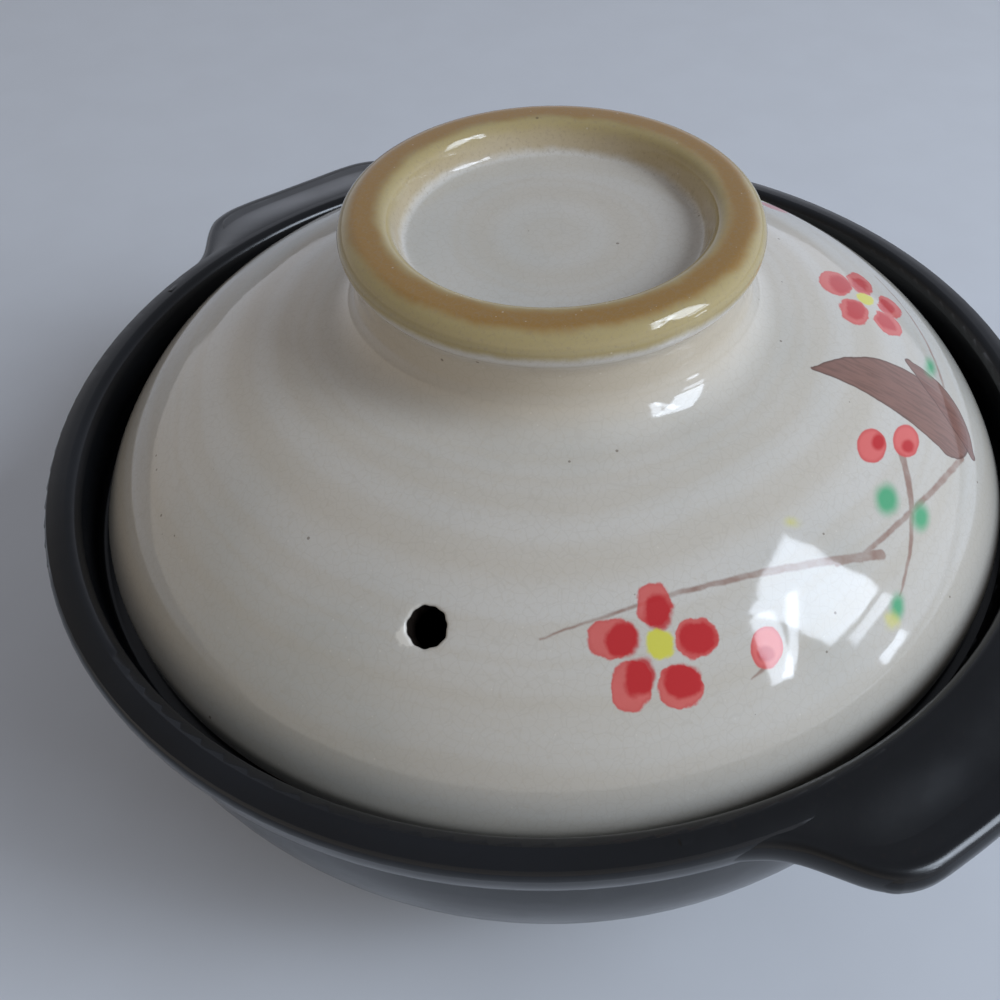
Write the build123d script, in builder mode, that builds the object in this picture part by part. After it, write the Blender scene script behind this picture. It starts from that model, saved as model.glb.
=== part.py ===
"""Small round donabe: a flameproof clay pot with two lugs, and the domed lid that lifts off it.

Everything is in millimetres. The pot stands on its foot ring at z = 0 with its axis on Z,
and its two lugs point along +X and -X. Outlines are drawn as radius and height on the XZ plane
and turned about the axis, as the clay is on the wheel.
"""
from build123d import *
from math import asin, atan, cos, degrees, hypot, radians, sin, sqrt
import os

os.makedirs("parts", exist_ok=True)

# Pot: rim, belly and foot
rim_radius = 95.0
rim_level = 72.0
rim_rise = 2.2
rim_wall = 6.2
rim_shoulder_inset = 0.8
rim_shoulder_fall = 0.5
rim_inner_round = 2.2
neck_inset = 3.4
neck_drop = 9.0
neck_cove_round = 5.0
belly_lean = -3.0
foot_radius = 57.0
foot_height = 6.5
foot_draft = 1.0
foot_width = 6.0
foot_hollow = 4.0
foot_round = 1.2
foot_cove_round = 2.5
foot_corner_round = 2.0
floor_thickness = 7.0
inside_round = 45.0

# Pot: ledge inside the rim that carries the lid
ledge_depth = 9.5
ledge_width = 7.8
ledge_nose_round = 1.6
ledge_corner_round = 1.5

# Pot: lugs, pressed clay tongues luted onto the rim
lug_reach = 13.6
lug_root_half_width = 34.0
lug_root_depth = 4.5
lug_side_splay = 20.0
lug_corner_half_width = 23.2
lug_corner_fall = 5.2
lug_lobe_half_spacing = 15.0
lug_lobe_fall = 1.3
lug_dip_half_spacing = 8.7
lug_dip_fall = 1.9
lug_corner_round = 6.0
lug_dip_round = 8.0
lug_top_rise = 1.2
lug_thickness = 6.0
lug_droop = 6.0
lug_edge_round = 2.6
lug_blend_round = 2.0

# Lid: dome
lid_gap = 2.9
lid_wall = 5.8
lip_height = 3.8
lip_roll = 4.0
lip_sweep = 26.0
lip_outer_round = 1.5
lip_inner_round = 1.2
shoulder_radius = 45.0
shoulder_sweep = 30.0
crown_radius = 89.0
inner_cone_slope = 18.0
inner_cap_radius = 52.0

# Lid: ring knob
knob_waist_radius = 33.4
knob_cove_radius = 10.9
knob_overhang = 2.3
knob_flare_height = 6.0
knob_lip_round = 3.6
knob_lip_flat = 2.9
knob_inner_round = 2.6
knob_inner_slope = 72.0
recess_depth = 5.6
recess_dish = 0.5
recess_corner_round = 1.6

# Lid: steam hole, punched square to the crown a short climb above the shoulder
steam_hole_radius = 3.1
steam_hole_climb = 4.7
steam_hole_azimuth = -54.5
steam_hole_round = 0.5

# One overrun serves every cut
overrun = 20.0

# Levels and radii of the pot that follow from its sizes
gallery_radius = rim_radius - rim_wall
rim_top = rim_level + rim_rise
rim_shoulder = (rim_radius - rim_shoulder_inset, rim_top - rim_shoulder_fall)
ledge_level = rim_level - ledge_depth
ledge_inner_radius = gallery_radius - ledge_width
neck = (rim_radius - neck_inset, rim_level - neck_drop)
foot_top = (foot_radius + foot_draft, foot_height)
foot_inner_radius = foot_radius - foot_width
floor_level = foot_hollow + floor_thickness


def corner(sketch, point):
    """The vertex of a sketch that lies nearest to a point."""
    return sketch.vertices().sort_by_distance(point)[0]


# Lug: a scalloped tongue in plan, of even thickness and drooping a little, with its root inside the rim
lug_root_radius = rim_radius - lug_root_depth
lug_root_back = lug_root_radius - sqrt(lug_root_radius**2 - lug_root_half_width**2)
lug_length = lug_root_depth + lug_reach
lug_root = (-lug_root_back, lug_root_half_width)
lug_corner = (lug_length - lug_corner_fall, lug_corner_half_width)
lug_lobe = (lug_length - lug_lobe_fall, lug_lobe_half_spacing)
lug_dip = (lug_length - lug_dip_fall, lug_dip_half_spacing)
lug_side_way = (-cos(radians(lug_side_splay)), sin(radians(lug_side_splay)))
lug_seat = Plane(
    origin=(lug_root_radius, 0, rim_level + lug_top_rise - lug_thickness),
    x_dir=(cos(radians(lug_droop)), 0, -sin(radians(lug_droop))),
    z_dir=(sin(radians(lug_droop)), 0, cos(radians(lug_droop))),
)

with BuildPart() as lug:
    with BuildSketch(lug_seat) as lug_plan:
        with BuildLine():
            ThreePointArc(lug_corner, lug_lobe, lug_dip)
            TangentArc(lug_corner, lug_root, tangent=lug_side_way)
            mirror(about=Plane.XZ)
            ThreePointArc(lug_dip, (lug_length, 0), (lug_dip[0], -lug_dip[1]))
            Line(lug_root, (lug_root[0], -lug_root[1]))
        make_face()
        for turn in (1, -1):
            fillet(corner(lug_plan, (lug_corner[0], turn * lug_corner[1])), radius=lug_corner_round)
            fillet(corner(lug_plan, (lug_dip[0], turn * lug_dip[1])), radius=lug_dip_round)
    extrude(amount=lug_thickness)
    broad_faces = lug.faces().sort_by(Axis(lug_seat.origin, lug_seat.z_dir))
    root_face = lug.faces().sort_by(Axis.X)[0]
    fillet(broad_faces[0].edges() + broad_faces[-1].edges() - root_face.edges(), radius=lug_edge_round)
    with BuildSketch(Plane.XY):
        Circle(lug_root_radius)
    extrude(amount=rim_level + overrun, mode=Mode.SUBTRACT)

# Pot: one turned outline
with BuildPart() as pot:
    with BuildSketch(Plane.XZ) as pot_outline:
        with BuildLine():
            foot_side = Line((foot_radius, 0), foot_top)
            belly = TangentArc(neck, foot_top, tangent=(-sin(radians(belly_lean)), -cos(radians(belly_lean))))
            bead_under = TangentArc((rim_radius, rim_level), neck, tangent=(0, -1))
            bead_over = TangentArc((rim_radius, rim_level), rim_shoulder, tangent=(0, 1))
            rim_crown = TangentArc((gallery_radius + rim_inner_round, rim_top), rim_shoulder, tangent=(1, 0))
            rim_inner = CenterArc(
                (gallery_radius + rim_inner_round, rim_top - rim_inner_round), rim_inner_round, 90, 90
            )
            gallery_wall = Line(rim_inner @ 1, (gallery_radius, ledge_level))
            ledge = Line(gallery_wall @ 1, (ledge_inner_radius, ledge_level))
            inside_wall = Line(ledge @ 1, (ledge_inner_radius, floor_level + inside_round))
            inside = JernArc(start=inside_wall @ 1, tangent=(0, -1), radius=inside_round, arc_size=-90)
            floor = Line(inside @ 1, (0, floor_level))
            Line((0, floor_level), (0, foot_hollow))
            Line((0, foot_hollow), (foot_inner_radius, foot_hollow))
            Line((foot_inner_radius, foot_hollow), (foot_inner_radius, 0))
            Line((foot_inner_radius, 0), (foot_radius, 0))
        make_face()
        fillet(corner(pot_outline, neck), radius=neck_cove_round)
        fillet(corner(pot_outline, foot_top), radius=foot_cove_round)
        fillet(corner(pot_outline, (gallery_radius, ledge_level)), radius=ledge_corner_round)
        fillet(corner(pot_outline, (ledge_inner_radius, ledge_level)), radius=ledge_nose_round)
        fillet(corner(pot_outline, (foot_radius, 0)), radius=foot_round)
        fillet(corner(pot_outline, (foot_inner_radius, 0)), radius=foot_round)
        fillet(corner(pot_outline, (foot_inner_radius, foot_hollow)), radius=foot_corner_round)
    revolve(axis=Axis.Z)
    bowl_edges = pot.edges()
    add(lug.part)
    add(mirror(lug.part, about=Plane.YZ, mode=Mode.PRIVATE))
    joint_edges = (pot.edges() - bowl_edges).filter_by(GeomType.BSPLINE)
    fillet(
        joint_edges.filter_by(lambda edge: hypot(edge.center().X, edge.center().Y) < rim_radius),
        radius=lug_blend_round,
    )
pot.part.label = "pot"
export_step(pot.part, "parts/pot.step")

# Lid outline: the lip, the shoulder and the crown of the dome, then the knob
lid_radius = gallery_radius - lid_gap
lip_level = ledge_level + lip_height
shoulder_slope = 90 - lip_sweep - shoulder_sweep
shoulder_end_r = (
    lid_radius
    - lip_roll * (1 - cos(radians(lip_sweep)))
    - shoulder_radius * (cos(radians(lip_sweep)) - cos(radians(lip_sweep + shoulder_sweep)))
)
crown_end_slope = degrees(
    asin(
        (knob_waist_radius - shoulder_end_r + crown_radius * sin(radians(shoulder_slope)) + knob_cove_radius)
        / (crown_radius + knob_cove_radius)
    )
)
flare_turn = 2 * atan(knob_overhang / knob_flare_height)
flare_radius = knob_flare_height / (2 * sin(flare_turn))
flare_sweep = degrees(flare_turn)

# Lid inside: one wall's thickness under the shoulder and the crown, then a cone and a cap
shoulder_center = (
    shoulder_end_r - shoulder_radius * sin(radians(shoulder_slope)),
    lip_level + lip_roll * sin(radians(lip_sweep)) - shoulder_radius * sin(radians(lip_sweep)),
)
crown_center = (
    shoulder_end_r - crown_radius * sin(radians(shoulder_slope)),
    shoulder_center[1] - (crown_radius - shoulder_radius) * cos(radians(shoulder_slope)),
)
inner_shoulder_radius = shoulder_radius - lid_wall
inner_start = asin((ledge_level - shoulder_center[1]) / inner_shoulder_radius)
inner_foot = (shoulder_center[0] + inner_shoulder_radius * cos(inner_start), ledge_level)
inner_crown_radius = crown_radius - lid_wall
inner_crown_r = crown_center[0] + inner_crown_radius * sin(radians(inner_cone_slope))
inner_cap_r = inner_cap_radius * sin(radians(inner_cone_slope))

# Steam hole: where it opens on the crown and which way it points
hole_turn = radians(steam_hole_azimuth)
hole_slope = radians(shoulder_slope) - steam_hole_climb / crown_radius
hole_r = crown_center[0] + crown_radius * sin(hole_slope)
steam_hole_mouth = (
    hole_r * cos(hole_turn),
    hole_r * sin(hole_turn),
    crown_center[1] + crown_radius * cos(hole_slope),
)
steam_hole_out = (sin(hole_slope) * cos(hole_turn), sin(hole_slope) * sin(hole_turn), cos(hole_slope))

with BuildPart() as lid:
    with BuildSketch(Plane.XZ) as lid_outline:
        with BuildLine():
            lip_foot = Line((lid_radius, ledge_level), inner_foot)
            inner_shoulder = JernArc(
                start=inner_foot,
                tangent=(-sin(inner_start), cos(inner_start)),
                radius=inner_shoulder_radius,
                arc_size=90 - shoulder_slope - degrees(inner_start),
            )
            inner_crown = JernArc(
                start=inner_shoulder @ 1,
                tangent=inner_shoulder % 1,
                radius=inner_crown_radius,
                arc_size=shoulder_slope - inner_cone_slope,
            )
            inner_cone = PolarLine(
                inner_crown @ 1,
                (inner_crown_r - inner_cap_r) / cos(radians(inner_cone_slope)),
                direction=inner_crown % 1,
            )
            cap = JernArc(
                start=inner_cone @ 1, tangent=inner_cone % 1, radius=inner_cap_radius, arc_size=inner_cone_slope
            )
            lip_side = Line((lid_radius, ledge_level), (lid_radius, lip_level))
            lip = JernArc(start=lip_side @ 1, tangent=(0, 1), radius=lip_roll, arc_size=lip_sweep)
            shoulder = JernArc(start=lip @ 1, tangent=lip % 1, radius=shoulder_radius, arc_size=shoulder_sweep)
            crown = JernArc(
                start=shoulder @ 1,
                tangent=shoulder % 1,
                radius=crown_radius,
                arc_size=shoulder_slope - crown_end_slope,
            )
            cove = JernArc(
                start=crown @ 1, tangent=crown % 1, radius=knob_cove_radius, arc_size=crown_end_slope - 90
            )
            flare = JernArc(start=cove @ 1, tangent=(0, 1), radius=flare_radius, arc_size=-flare_sweep)
            flare_top = JernArc(start=flare @ 1, tangent=flare % 1, radius=flare_radius, arc_size=flare_sweep)
            knob_round = JernArc(start=flare_top @ 1, tangent=(0, 1), radius=knob_lip_round, arc_size=90)
            knob_top = Line(knob_round @ 1, knob_round @ 1 - (knob_lip_flat, 0))
            knob_inner = JernArc(
                start=knob_top @ 1, tangent=(-1, 0), radius=knob_inner_round, arc_size=knob_inner_slope
            )
            recess_drop = recess_depth - knob_inner_round * (1 - cos(radians(knob_inner_slope)))
            recess_wall = PolarLine(
                knob_inner @ 1,
                recess_drop / sin(radians(knob_inner_slope)),
                direction=knob_inner % 1,
            )
            recess_floor = TangentArc(
                (0, (recess_wall @ 1).Y - recess_dish), recess_wall @ 1, tangent=(1, 0)
            )
            Line(recess_floor @ 0, cap @ 1)
        make_face()
        fillet(corner(lid_outline, recess_wall @ 1), radius=recess_corner_round)
        fillet(corner(lid_outline, lip_side @ 0), radius=lip_outer_round)
        fillet(corner(lid_outline, lip_foot @ 1), radius=lip_inner_round)
    revolve(axis=Axis.Z)
    dome_edges = lid.edges()
    with BuildSketch(Plane(origin=steam_hole_mouth, z_dir=steam_hole_out)):
        Circle(steam_hole_radius)
    extrude(amount=overrun, both=True, mode=Mode.SUBTRACT)
    fillet(lid.edges() - dome_edges, radius=steam_hole_round)
lid.part.label = "lid"
export_step(lid.part, "parts/lid.step")
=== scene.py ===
"""A small clay cooking pot with two scalloped lugs, under a domed lid painted with a plum branch.

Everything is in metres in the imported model's frame: the pot stands on its foot at z = 0, its axis is Z,
and its lugs point along +X and -X. The painting is laid out on a flat map of the dome, where a point
lies in its own direction round the lid, and its distance from the middle grows as the way along the clay.
"""
import logging
from dataclasses import dataclass, field
from enum import Enum
from math import acos, asin, atan, cos, degrees, hypot, pi, radians, sin, tan
from typing import Optional, Sequence, Union

import bpy
import numpy as np
from mathutils import Matrix, Vector


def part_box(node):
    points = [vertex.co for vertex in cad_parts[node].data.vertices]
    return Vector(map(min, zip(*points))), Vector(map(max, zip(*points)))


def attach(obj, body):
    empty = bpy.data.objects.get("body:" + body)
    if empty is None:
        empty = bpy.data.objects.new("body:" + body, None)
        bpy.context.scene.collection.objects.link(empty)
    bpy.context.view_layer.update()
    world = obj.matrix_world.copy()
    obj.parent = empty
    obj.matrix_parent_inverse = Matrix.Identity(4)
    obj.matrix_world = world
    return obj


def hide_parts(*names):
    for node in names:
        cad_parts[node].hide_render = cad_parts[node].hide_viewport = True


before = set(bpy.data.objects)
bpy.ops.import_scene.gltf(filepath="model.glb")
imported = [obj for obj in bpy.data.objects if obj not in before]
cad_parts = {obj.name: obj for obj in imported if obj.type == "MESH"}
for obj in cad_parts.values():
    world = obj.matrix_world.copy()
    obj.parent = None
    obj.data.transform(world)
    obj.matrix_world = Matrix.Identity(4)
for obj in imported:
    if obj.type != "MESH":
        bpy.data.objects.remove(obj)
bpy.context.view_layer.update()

MM = 0.001

Socket = bpy.types.NodeSocket
Feed = Union[Socket, float, Sequence[float]]
Colour = tuple[float, float, float, float]
log = logging.getLogger("donabe")


class Body(Enum):
    """The two bodies that the pieces ride on."""

    POT = "pot"
    LID = "lid"


class Slot(Enum):
    """The material slots' names."""

    POT_GLAZE = "pot_glaze"
    LID_GLAZE = "lid_glaze"


class Channel(Enum):
    """The parts of a cell's colour that pick the rare specks."""

    RED = "Red"
    GREEN = "Green"


class Landmark(Enum):
    """Places on the lid's outline that its glaze goes by."""

    RECESS = "corner of the recess in the knob"
    RING_INNER = "inner edge of the ring's flat"
    RING_TOP = "outer edge of the ring's flat"
    RING_SIDE = "widest place of the ring"


# Clay surfaces


def about_axis(radius: np.ndarray, height: np.ndarray, azimuth: np.ndarray) -> np.ndarray:
    """Points at a radius and a height, turned by the azimuth about Z, with x, y and z last."""
    return np.stack(np.broadcast_arrays(radius * np.cos(azimuth), radius * np.sin(azimuth), height), -1)


class TurningPen:
    """Draws a turned outline, as radius and height, by straights and arcs that run on from each other.

    The clay lies on the pen's left, so the way out of the clay is on its right.
    """

    def __init__(self, radius: float, height: float, heading: float) -> None:
        """Set the pen down.

        Args:
            radius: Distance of the first point from the axis.
            height: Height of the first point.
            heading: Direction of travel in degrees, 0 outwards and 90 upwards.
        """
        self.at = np.array([radius, height])
        self.heading = radians(heading)
        self.points: list[np.ndarray] = [self.at[None]]
        self.outward: list[np.ndarray] = [self._right(np.array([self.heading]))]

    @property
    def row(self) -> int:
        """Number of the last point drawn."""
        return sum(len(part) for part in self.points) - 1

    @staticmethod
    def _right(heading: np.ndarray) -> np.ndarray:
        """Unit vectors to the right of some headings."""
        return np.stack([np.sin(heading), -np.cos(heading)], -1)

    def straight(self, length: float, steps: int) -> None:
        """Draw a straight: the start plus equal shares of the length along the heading.

        Args:
            length: Length of the straight.
            steps: Number of points that it adds.
        """
        share = np.linspace(0, length, steps + 1)[1:, None]
        way = np.array([cos(self.heading), sin(self.heading)])
        self.points.append(self.at + share * way)
        self.outward.append(np.repeat(self._right(np.array([self.heading])), steps, axis=0))
        self.at = self.points[-1][-1]

    def arc(self, radius: float, turn: float, steps: int) -> None:
        """Draw an arc: the centre, plus the radius turned evenly round it.

        Args:
            radius: Radius of the arc.
            turn: Change of heading in degrees, plus to the left and minus to the right.
            steps: Number of points that it adds.
        """
        side = 1.0 if turn > 0 else -1.0
        centre = self.at - side * radius * self._right(np.array([self.heading]))[0]
        headings = self.heading + radians(turn) * np.linspace(0, 1, steps + 1)[1:]
        right = self._right(headings)
        self.points.append(centre + side * radius * right)
        self.outward.append(right)
        self.at = self.points[-1][-1]
        self.heading += radians(turn)

    def outline(self) -> tuple[np.ndarray, np.ndarray]:
        """The drawn points and the ways out of the clay at them."""
        return np.concatenate(self.points), np.concatenate(self.outward)


class ClaySurface:
    """Gathers point arrays and face arrays, and welds them into one smooth mesh."""

    def __init__(self) -> None:
        """Start with nothing gathered."""
        self.points: list[np.ndarray] = []
        self.maps: list[np.ndarray] = []
        self.along: list[np.ndarray] = []
        self.quads: list[np.ndarray] = []
        self.triangles: list[np.ndarray] = []
        self.count = 0

    def add_points(self, points: np.ndarray, flat_map: np.ndarray, along: np.ndarray) -> np.ndarray:
        """Add an array of points of any shape.

        Args:
            points: Positions, with x, y and z last.
            flat_map: Places on the glaze map, with u and v last.
            along: Distance along the outline at each point.

        Returns:
            The points' numbers in the mesh, in the shape of the array.
        """
        shape = points.shape[:-1]
        number = np.arange(self.count, self.count + int(np.prod(shape))).reshape(shape)
        self.points.append(points.reshape(-1, 3))
        self.maps.append(np.broadcast_to(flat_map, (*shape, 2)).reshape(-1, 2))
        self.along.append(np.broadcast_to(along, shape).reshape(-1))
        self.count += number.size
        return number

    def add_grid(self, number: np.ndarray, keep: Optional[np.ndarray] = None) -> None:
        """Add the faces between neighbouring rows and columns, the last column joined to the first.

        Args:
            number: Point numbers by row and column, rows running along the outline.
            keep: Which of the grid's cells get a face, all of them if left out.
        """
        ahead = np.roll(number, -1, axis=1)
        quads = np.stack([number[:-1], ahead[:-1], ahead[1:], number[1:]], -1)
        self.quads.append(quads.reshape(-1, 4) if keep is None else quads[keep])

    def add_fan(self, ring: np.ndarray, pole: int, flip: bool) -> None:
        """Close a ring of points with triangles to one point.

        Args:
            ring: Point numbers round the ring.
            pole: Number of the point that closes it.
            flip: Whether the faces look to the other side.
        """
        ahead = np.roll(ring, -1)
        first, second = (ahead, ring) if flip else (ring, ahead)
        self.triangles.append(np.stack([first, second, np.full_like(ring, pole)], -1))

    def build(self, name: str) -> bpy.types.Object:
        """Make the Blender object, with the flat map as its UV map and the outline distance as an attribute.

        Args:
            name: Name of the piece.

        Returns:
            The new object, at the origin.
        """
        points = np.concatenate(self.points)
        quads, triangles = np.concatenate(self.quads), np.concatenate(self.triangles)
        corners = np.concatenate([quads.ravel(), triangles.ravel()]).astype(np.int32)
        starts = np.concatenate([4 * np.arange(len(quads)), quads.size + 3 * np.arange(len(triangles))])
        mesh = bpy.data.meshes.new(name)
        mesh.vertices.add(len(points))
        mesh.vertices.foreach_set("co", points.astype(np.float32).ravel())
        mesh.loops.add(len(corners))
        mesh.loops.foreach_set("vertex_index", corners)
        mesh.polygons.add(len(starts))
        mesh.polygons.foreach_set("loop_start", starts.astype(np.int32))
        mesh.update(calc_edges=True)
        mesh.shade_smooth()
        uv = mesh.uv_layers.new(name="glaze_map")
        uv.data.foreach_set("uv", np.concatenate(self.maps)[corners].astype(np.float32).ravel())
        along = mesh.attributes.new("outline", "FLOAT", "POINT")
        along.data.foreach_set("value", np.concatenate(self.along).astype(np.float32))
        mesh.validate()
        piece = bpy.data.objects.new(name, mesh)
        bpy.context.scene.collection.objects.link(piece)
        return piece


@dataclass(frozen=True)
class Swell:
    """One wave round an axis: its height, how often it goes up and down, and where it starts."""

    height: float
    count: int
    phase: float = 0.0


def swelling(waves: Sequence[Swell], angle: np.ndarray) -> np.ndarray:
    """Sum of the waves' sines in a direction."""
    return sum(wave.height * np.sin(wave.count * angle + wave.phase) for wave in waves)


# Bench for the finishes


def clay_colour(red: float, green: float, blue: float) -> Colour:
    """Turn a colour as it is seen, 0 to 255, into the linear colour that a shader takes.

    Each part is divided by 255 and taken through the usual display curve backwards.

    Args:
        red: Red part, 0 to 255.
        green: Green part, 0 to 255.
        blue: Blue part, 0 to 255.

    Returns:
        Linear red, green and blue, and full cover.
    """
    seen = np.array([red, green, blue]) / 255
    linear = np.where(seen <= 0.04045, seen / 12.92, ((seen + 0.055) / 1.055) ** 2.4)
    return (*linear.tolist(), 1.0)


@dataclass(frozen=True)
class Fade:
    """An eased change from start to end, while the number that is read runs from low to high."""

    low: float
    high: float
    start: float = 0.0
    end: float = 1.0


@dataclass(frozen=True)
class Cloud:
    """A cloudy noise: its features per metre, its octaves and how strong the fine ones are."""

    scale: float
    detail: float = 2.0
    roughness: float = 0.5


@dataclass(frozen=True)
class Coat:
    """A colour, and how it covers what lies under it by the number that it is laid by."""

    colour: Colour
    cover: Fade


@dataclass(frozen=True)
class Specks:
    """Specks in a pattern of cells: cells per metre, the part of the cell's colour that picks the
    rare ones, the speck's radius by that part, and its coat by the distance from its edge."""

    scale: float
    part: Channel
    radius: Fade
    coat: Coat


@dataclass(frozen=True)
class Relief:
    """Small unevenness of a fired surface: a wave with finer grain on it."""

    wave: Cloud
    grain_share: float
    strength: float
    height: float


class Bench:
    """A bench on which one node tree is wired."""

    def __init__(self, tree: bpy.types.NodeTree) -> None:
        """Take a tree to work on."""
        self.tree = tree

    def feed(self, socket: Socket, value: Feed) -> None:
        """Wire a socket to another one, or set it to a value.

        Args:
            socket: The input.
            value: Another node's output, or the value itself.
        """
        if isinstance(value, bpy.types.NodeSocket):
            self.tree.links.new(value, socket)
        else:
            socket.default_value = value

    def node(self, kind: str, feeds: Optional[dict[str, Feed]] = None, **settings: object) -> bpy.types.Node:
        """Put down a node.

        Args:
            kind: Kind of the node.
            feeds: What goes into its inputs, by their names.
            settings: Its other settings.

        Returns:
            The node.
        """
        made = self.tree.nodes.new(kind)
        for name, value in settings.items():
            setattr(made, name, value)
        for name, value in (feeds or {}).items():
            self.feed(made.inputs[name], value)
        return made

    def _sum(self, made: bpy.types.Node, values: Sequence[Feed]) -> bpy.types.Node:
        """Feed a sum's inputs in their order.

        Args:
            made: The sum's node.
            values: Its terms.

        Returns:
            The same node.
        """
        for socket, value in zip(made.inputs, values):
            self.feed(socket, value)
        return made

    def math(self, operation: str, *values: Feed, clamp: bool = False) -> Socket:
        """Work out one number from up to three others, held from 0 to 1 if clamp is set."""
        return self._sum(self.node("ShaderNodeMath", operation=operation, use_clamp=clamp), values).outputs[0]

    def vector(self, operation: str, *values: Feed) -> Socket:
        """Work out one vector from up to three others."""
        return self._sum(self.node("ShaderNodeVectorMath", operation=operation), values).outputs["Vector"]

    def measure(self, operation: str, *values: Feed) -> Socket:
        """Work out one number, such as a length, from one or two vectors."""
        return self._sum(self.node("ShaderNodeVectorMath", operation=operation), values).outputs["Value"]

    def height(self, where: Socket) -> Socket:
        """The last part of a place."""
        return self.node("ShaderNodeSeparateXYZ", {"Vector": where}).outputs["Z"]

    def fade(self, value: Feed, fade: Fade) -> Socket:
        """Ease a number from start to end while another runs from low to high.

        Args:
            value: The number that is read.
            fade: The change.

        Returns:
            The eased number.
        """
        ends = {"From Min": fade.low, "From Max": fade.high, "To Min": fade.start, "To Max": fade.end}
        made = self.node("ShaderNodeMapRange", {"Value": value, **ends}, interpolation_type="SMOOTHSTEP")
        return made.outputs["Result"]

    def noise(self, where: Socket, cloud: Cloud, output: str = "Fac") -> Socket:
        """Read a cloudy noise.

        Args:
            where: Place at which it is read.
            cloud: The noise.
            output: Fac for a number, Color for three.

        Returns:
            The noise, about 0.5 in the mean.
        """
        feeds = {"Vector": where, "Scale": cloud.scale, "Detail": cloud.detail, "Roughness": cloud.roughness}
        return self.node("ShaderNodeTexNoise", feeds).outputs[output]

    def torn(self, line: Socket, where: Socket, cloud: Cloud, reach: float) -> Socket:
        """Make a distance uneven by adding the reach times a noise."""
        return self.math("MULTIPLY_ADD", self.noise(where, cloud), reach, line)

    def cells(self, where: Socket, scale: float, feature: str = "F1") -> bpy.types.Node:
        """Put down a cell pattern, whose scale is in cells per metre."""
        return self.node("ShaderNodeTexVoronoi", {"Vector": where, "Scale": scale}, feature=feature)

    def blend(self, share: Feed, below: Feed, above: Feed) -> Socket:
        """Lay one colour over another.

        Args:
            share: How much of the upper colour shows, from 0 to 1.
            below: The lower colour.
            above: The upper colour.

        Returns:
            The colour that results.
        """
        made = self.node("ShaderNodeMix", data_type="RGBA")
        for number, value in ((0, share), (6, below), (7, above)):
            self.feed(made.inputs[number], value)
        return made.outputs[2]

    def coat(self, below: Feed, reading: Socket, coat: Coat) -> Socket:
        """Lay a coat over a colour, covering by a reading."""
        return self.blend(self.fade(reading, coat.cover), below, coat.colour)

    def specks(self, below: Feed, where: Socket, specks: Specks) -> Socket:
        """Lay round specks over a colour, in the few cells whose colour is high.

        Args:
            below: The colour under them.
            where: Object coordinates.
            specks: The specks.

        Returns:
            The speckled colour.
        """
        cell = self.cells(where, specks.scale)
        parts = self.node("ShaderNodeSeparateColor", {"Color": cell.outputs["Color"]})
        radius = self.fade(parts.outputs[specks.part.value], specks.radius)
        return self.coat(below, self.math("SUBTRACT", cell.outputs["Distance"], radius), specks.coat)

    def relief(self, where: Socket, grain: Socket, relief: Relief) -> Socket:
        """Turn a wave with grain on it into a normal.

        Args:
            where: Object coordinates.
            grain: The finer noise.
            relief: Sizes of the unevenness.

        Returns:
            The normal.
        """
        height = self.math("MULTIPLY_ADD", grain, relief.grain_share, self.noise(where, relief.wave))
        feeds = {"Strength": relief.strength, "Distance": relief.height, "Height": height}
        return self.node("ShaderNodeBump", feeds).outputs["Normal"]

    def ramp(self, value: Feed, stops: Sequence[tuple[float, Colour]]) -> Socket:
        """Read a colour from a ramp.

        Args:
            value: Place on the ramp, from 0 to 1.
            stops: Places and their colours, in rising order.

        Returns:
            The colour.
        """
        made = self.node("ShaderNodeValToRGB", {"Fac": value})
        made.color_ramp.interpolation = "EASE"
        while len(made.color_ramp.elements) < len(stops):
            made.color_ramp.elements.new(1.0)
        for element, (place, colour) in zip(made.color_ramp.elements, stops):
            element.position = place
            element.color = colour
        return made.outputs["Color"]

    def widest(self, values: Sequence[Socket]) -> Socket:
        """Find the largest of several numbers.

        Args:
            values: The numbers.

        Returns:
            The largest.
        """
        best = values[0]
        for value in values[1:]:
            best = self.math("MAXIMUM", best, value)
        return best


def new_finish(name: str) -> tuple[bpy.types.Material, Bench, bpy.types.Node, Socket]:
    """Make a material with a bare shader.

    Args:
        name: Name of the material.

    Returns:
        The material, its bench, its shader and the Object coordinates.
    """
    finish = bpy.data.materials.new(name)
    finish.use_nodes = True
    finish.node_tree.nodes.clear()
    bench = Bench(finish.node_tree)
    shader = bench.node("ShaderNodeBsdfPrincipled")
    bench.node("ShaderNodeOutputMaterial", {"Surface": shader.outputs["BSDF"]})
    return finish, bench, shader, bench.node("ShaderNodeTexCoord").outputs["Object"]


def cover(piece: bpy.types.Object, finish: bpy.types.Material) -> None:
    """Give a piece one finish in every slot.

    Args:
        piece: The piece.
        finish: Its material.
    """
    slots = piece.data.materials
    if not slots:
        slots.append(finish)
    for number in range(len(slots)):
        slots[number] = finish


# Brushwork


@dataclass(frozen=True)
class Dab:
    """One round press of the brush, an oval on the glaze map, turned by some degrees."""

    u: float
    v: float
    half_long: float
    half_wide: float
    turn: float


@dataclass(frozen=True)
class Stroke:
    """One drawn line on the glaze map, bowed to its left and of changing width."""

    start: tuple[float, float]
    end: tuple[float, float]
    bow: float
    half_at_start: float
    half_at_end: float
    belly: float = 0.0


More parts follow.
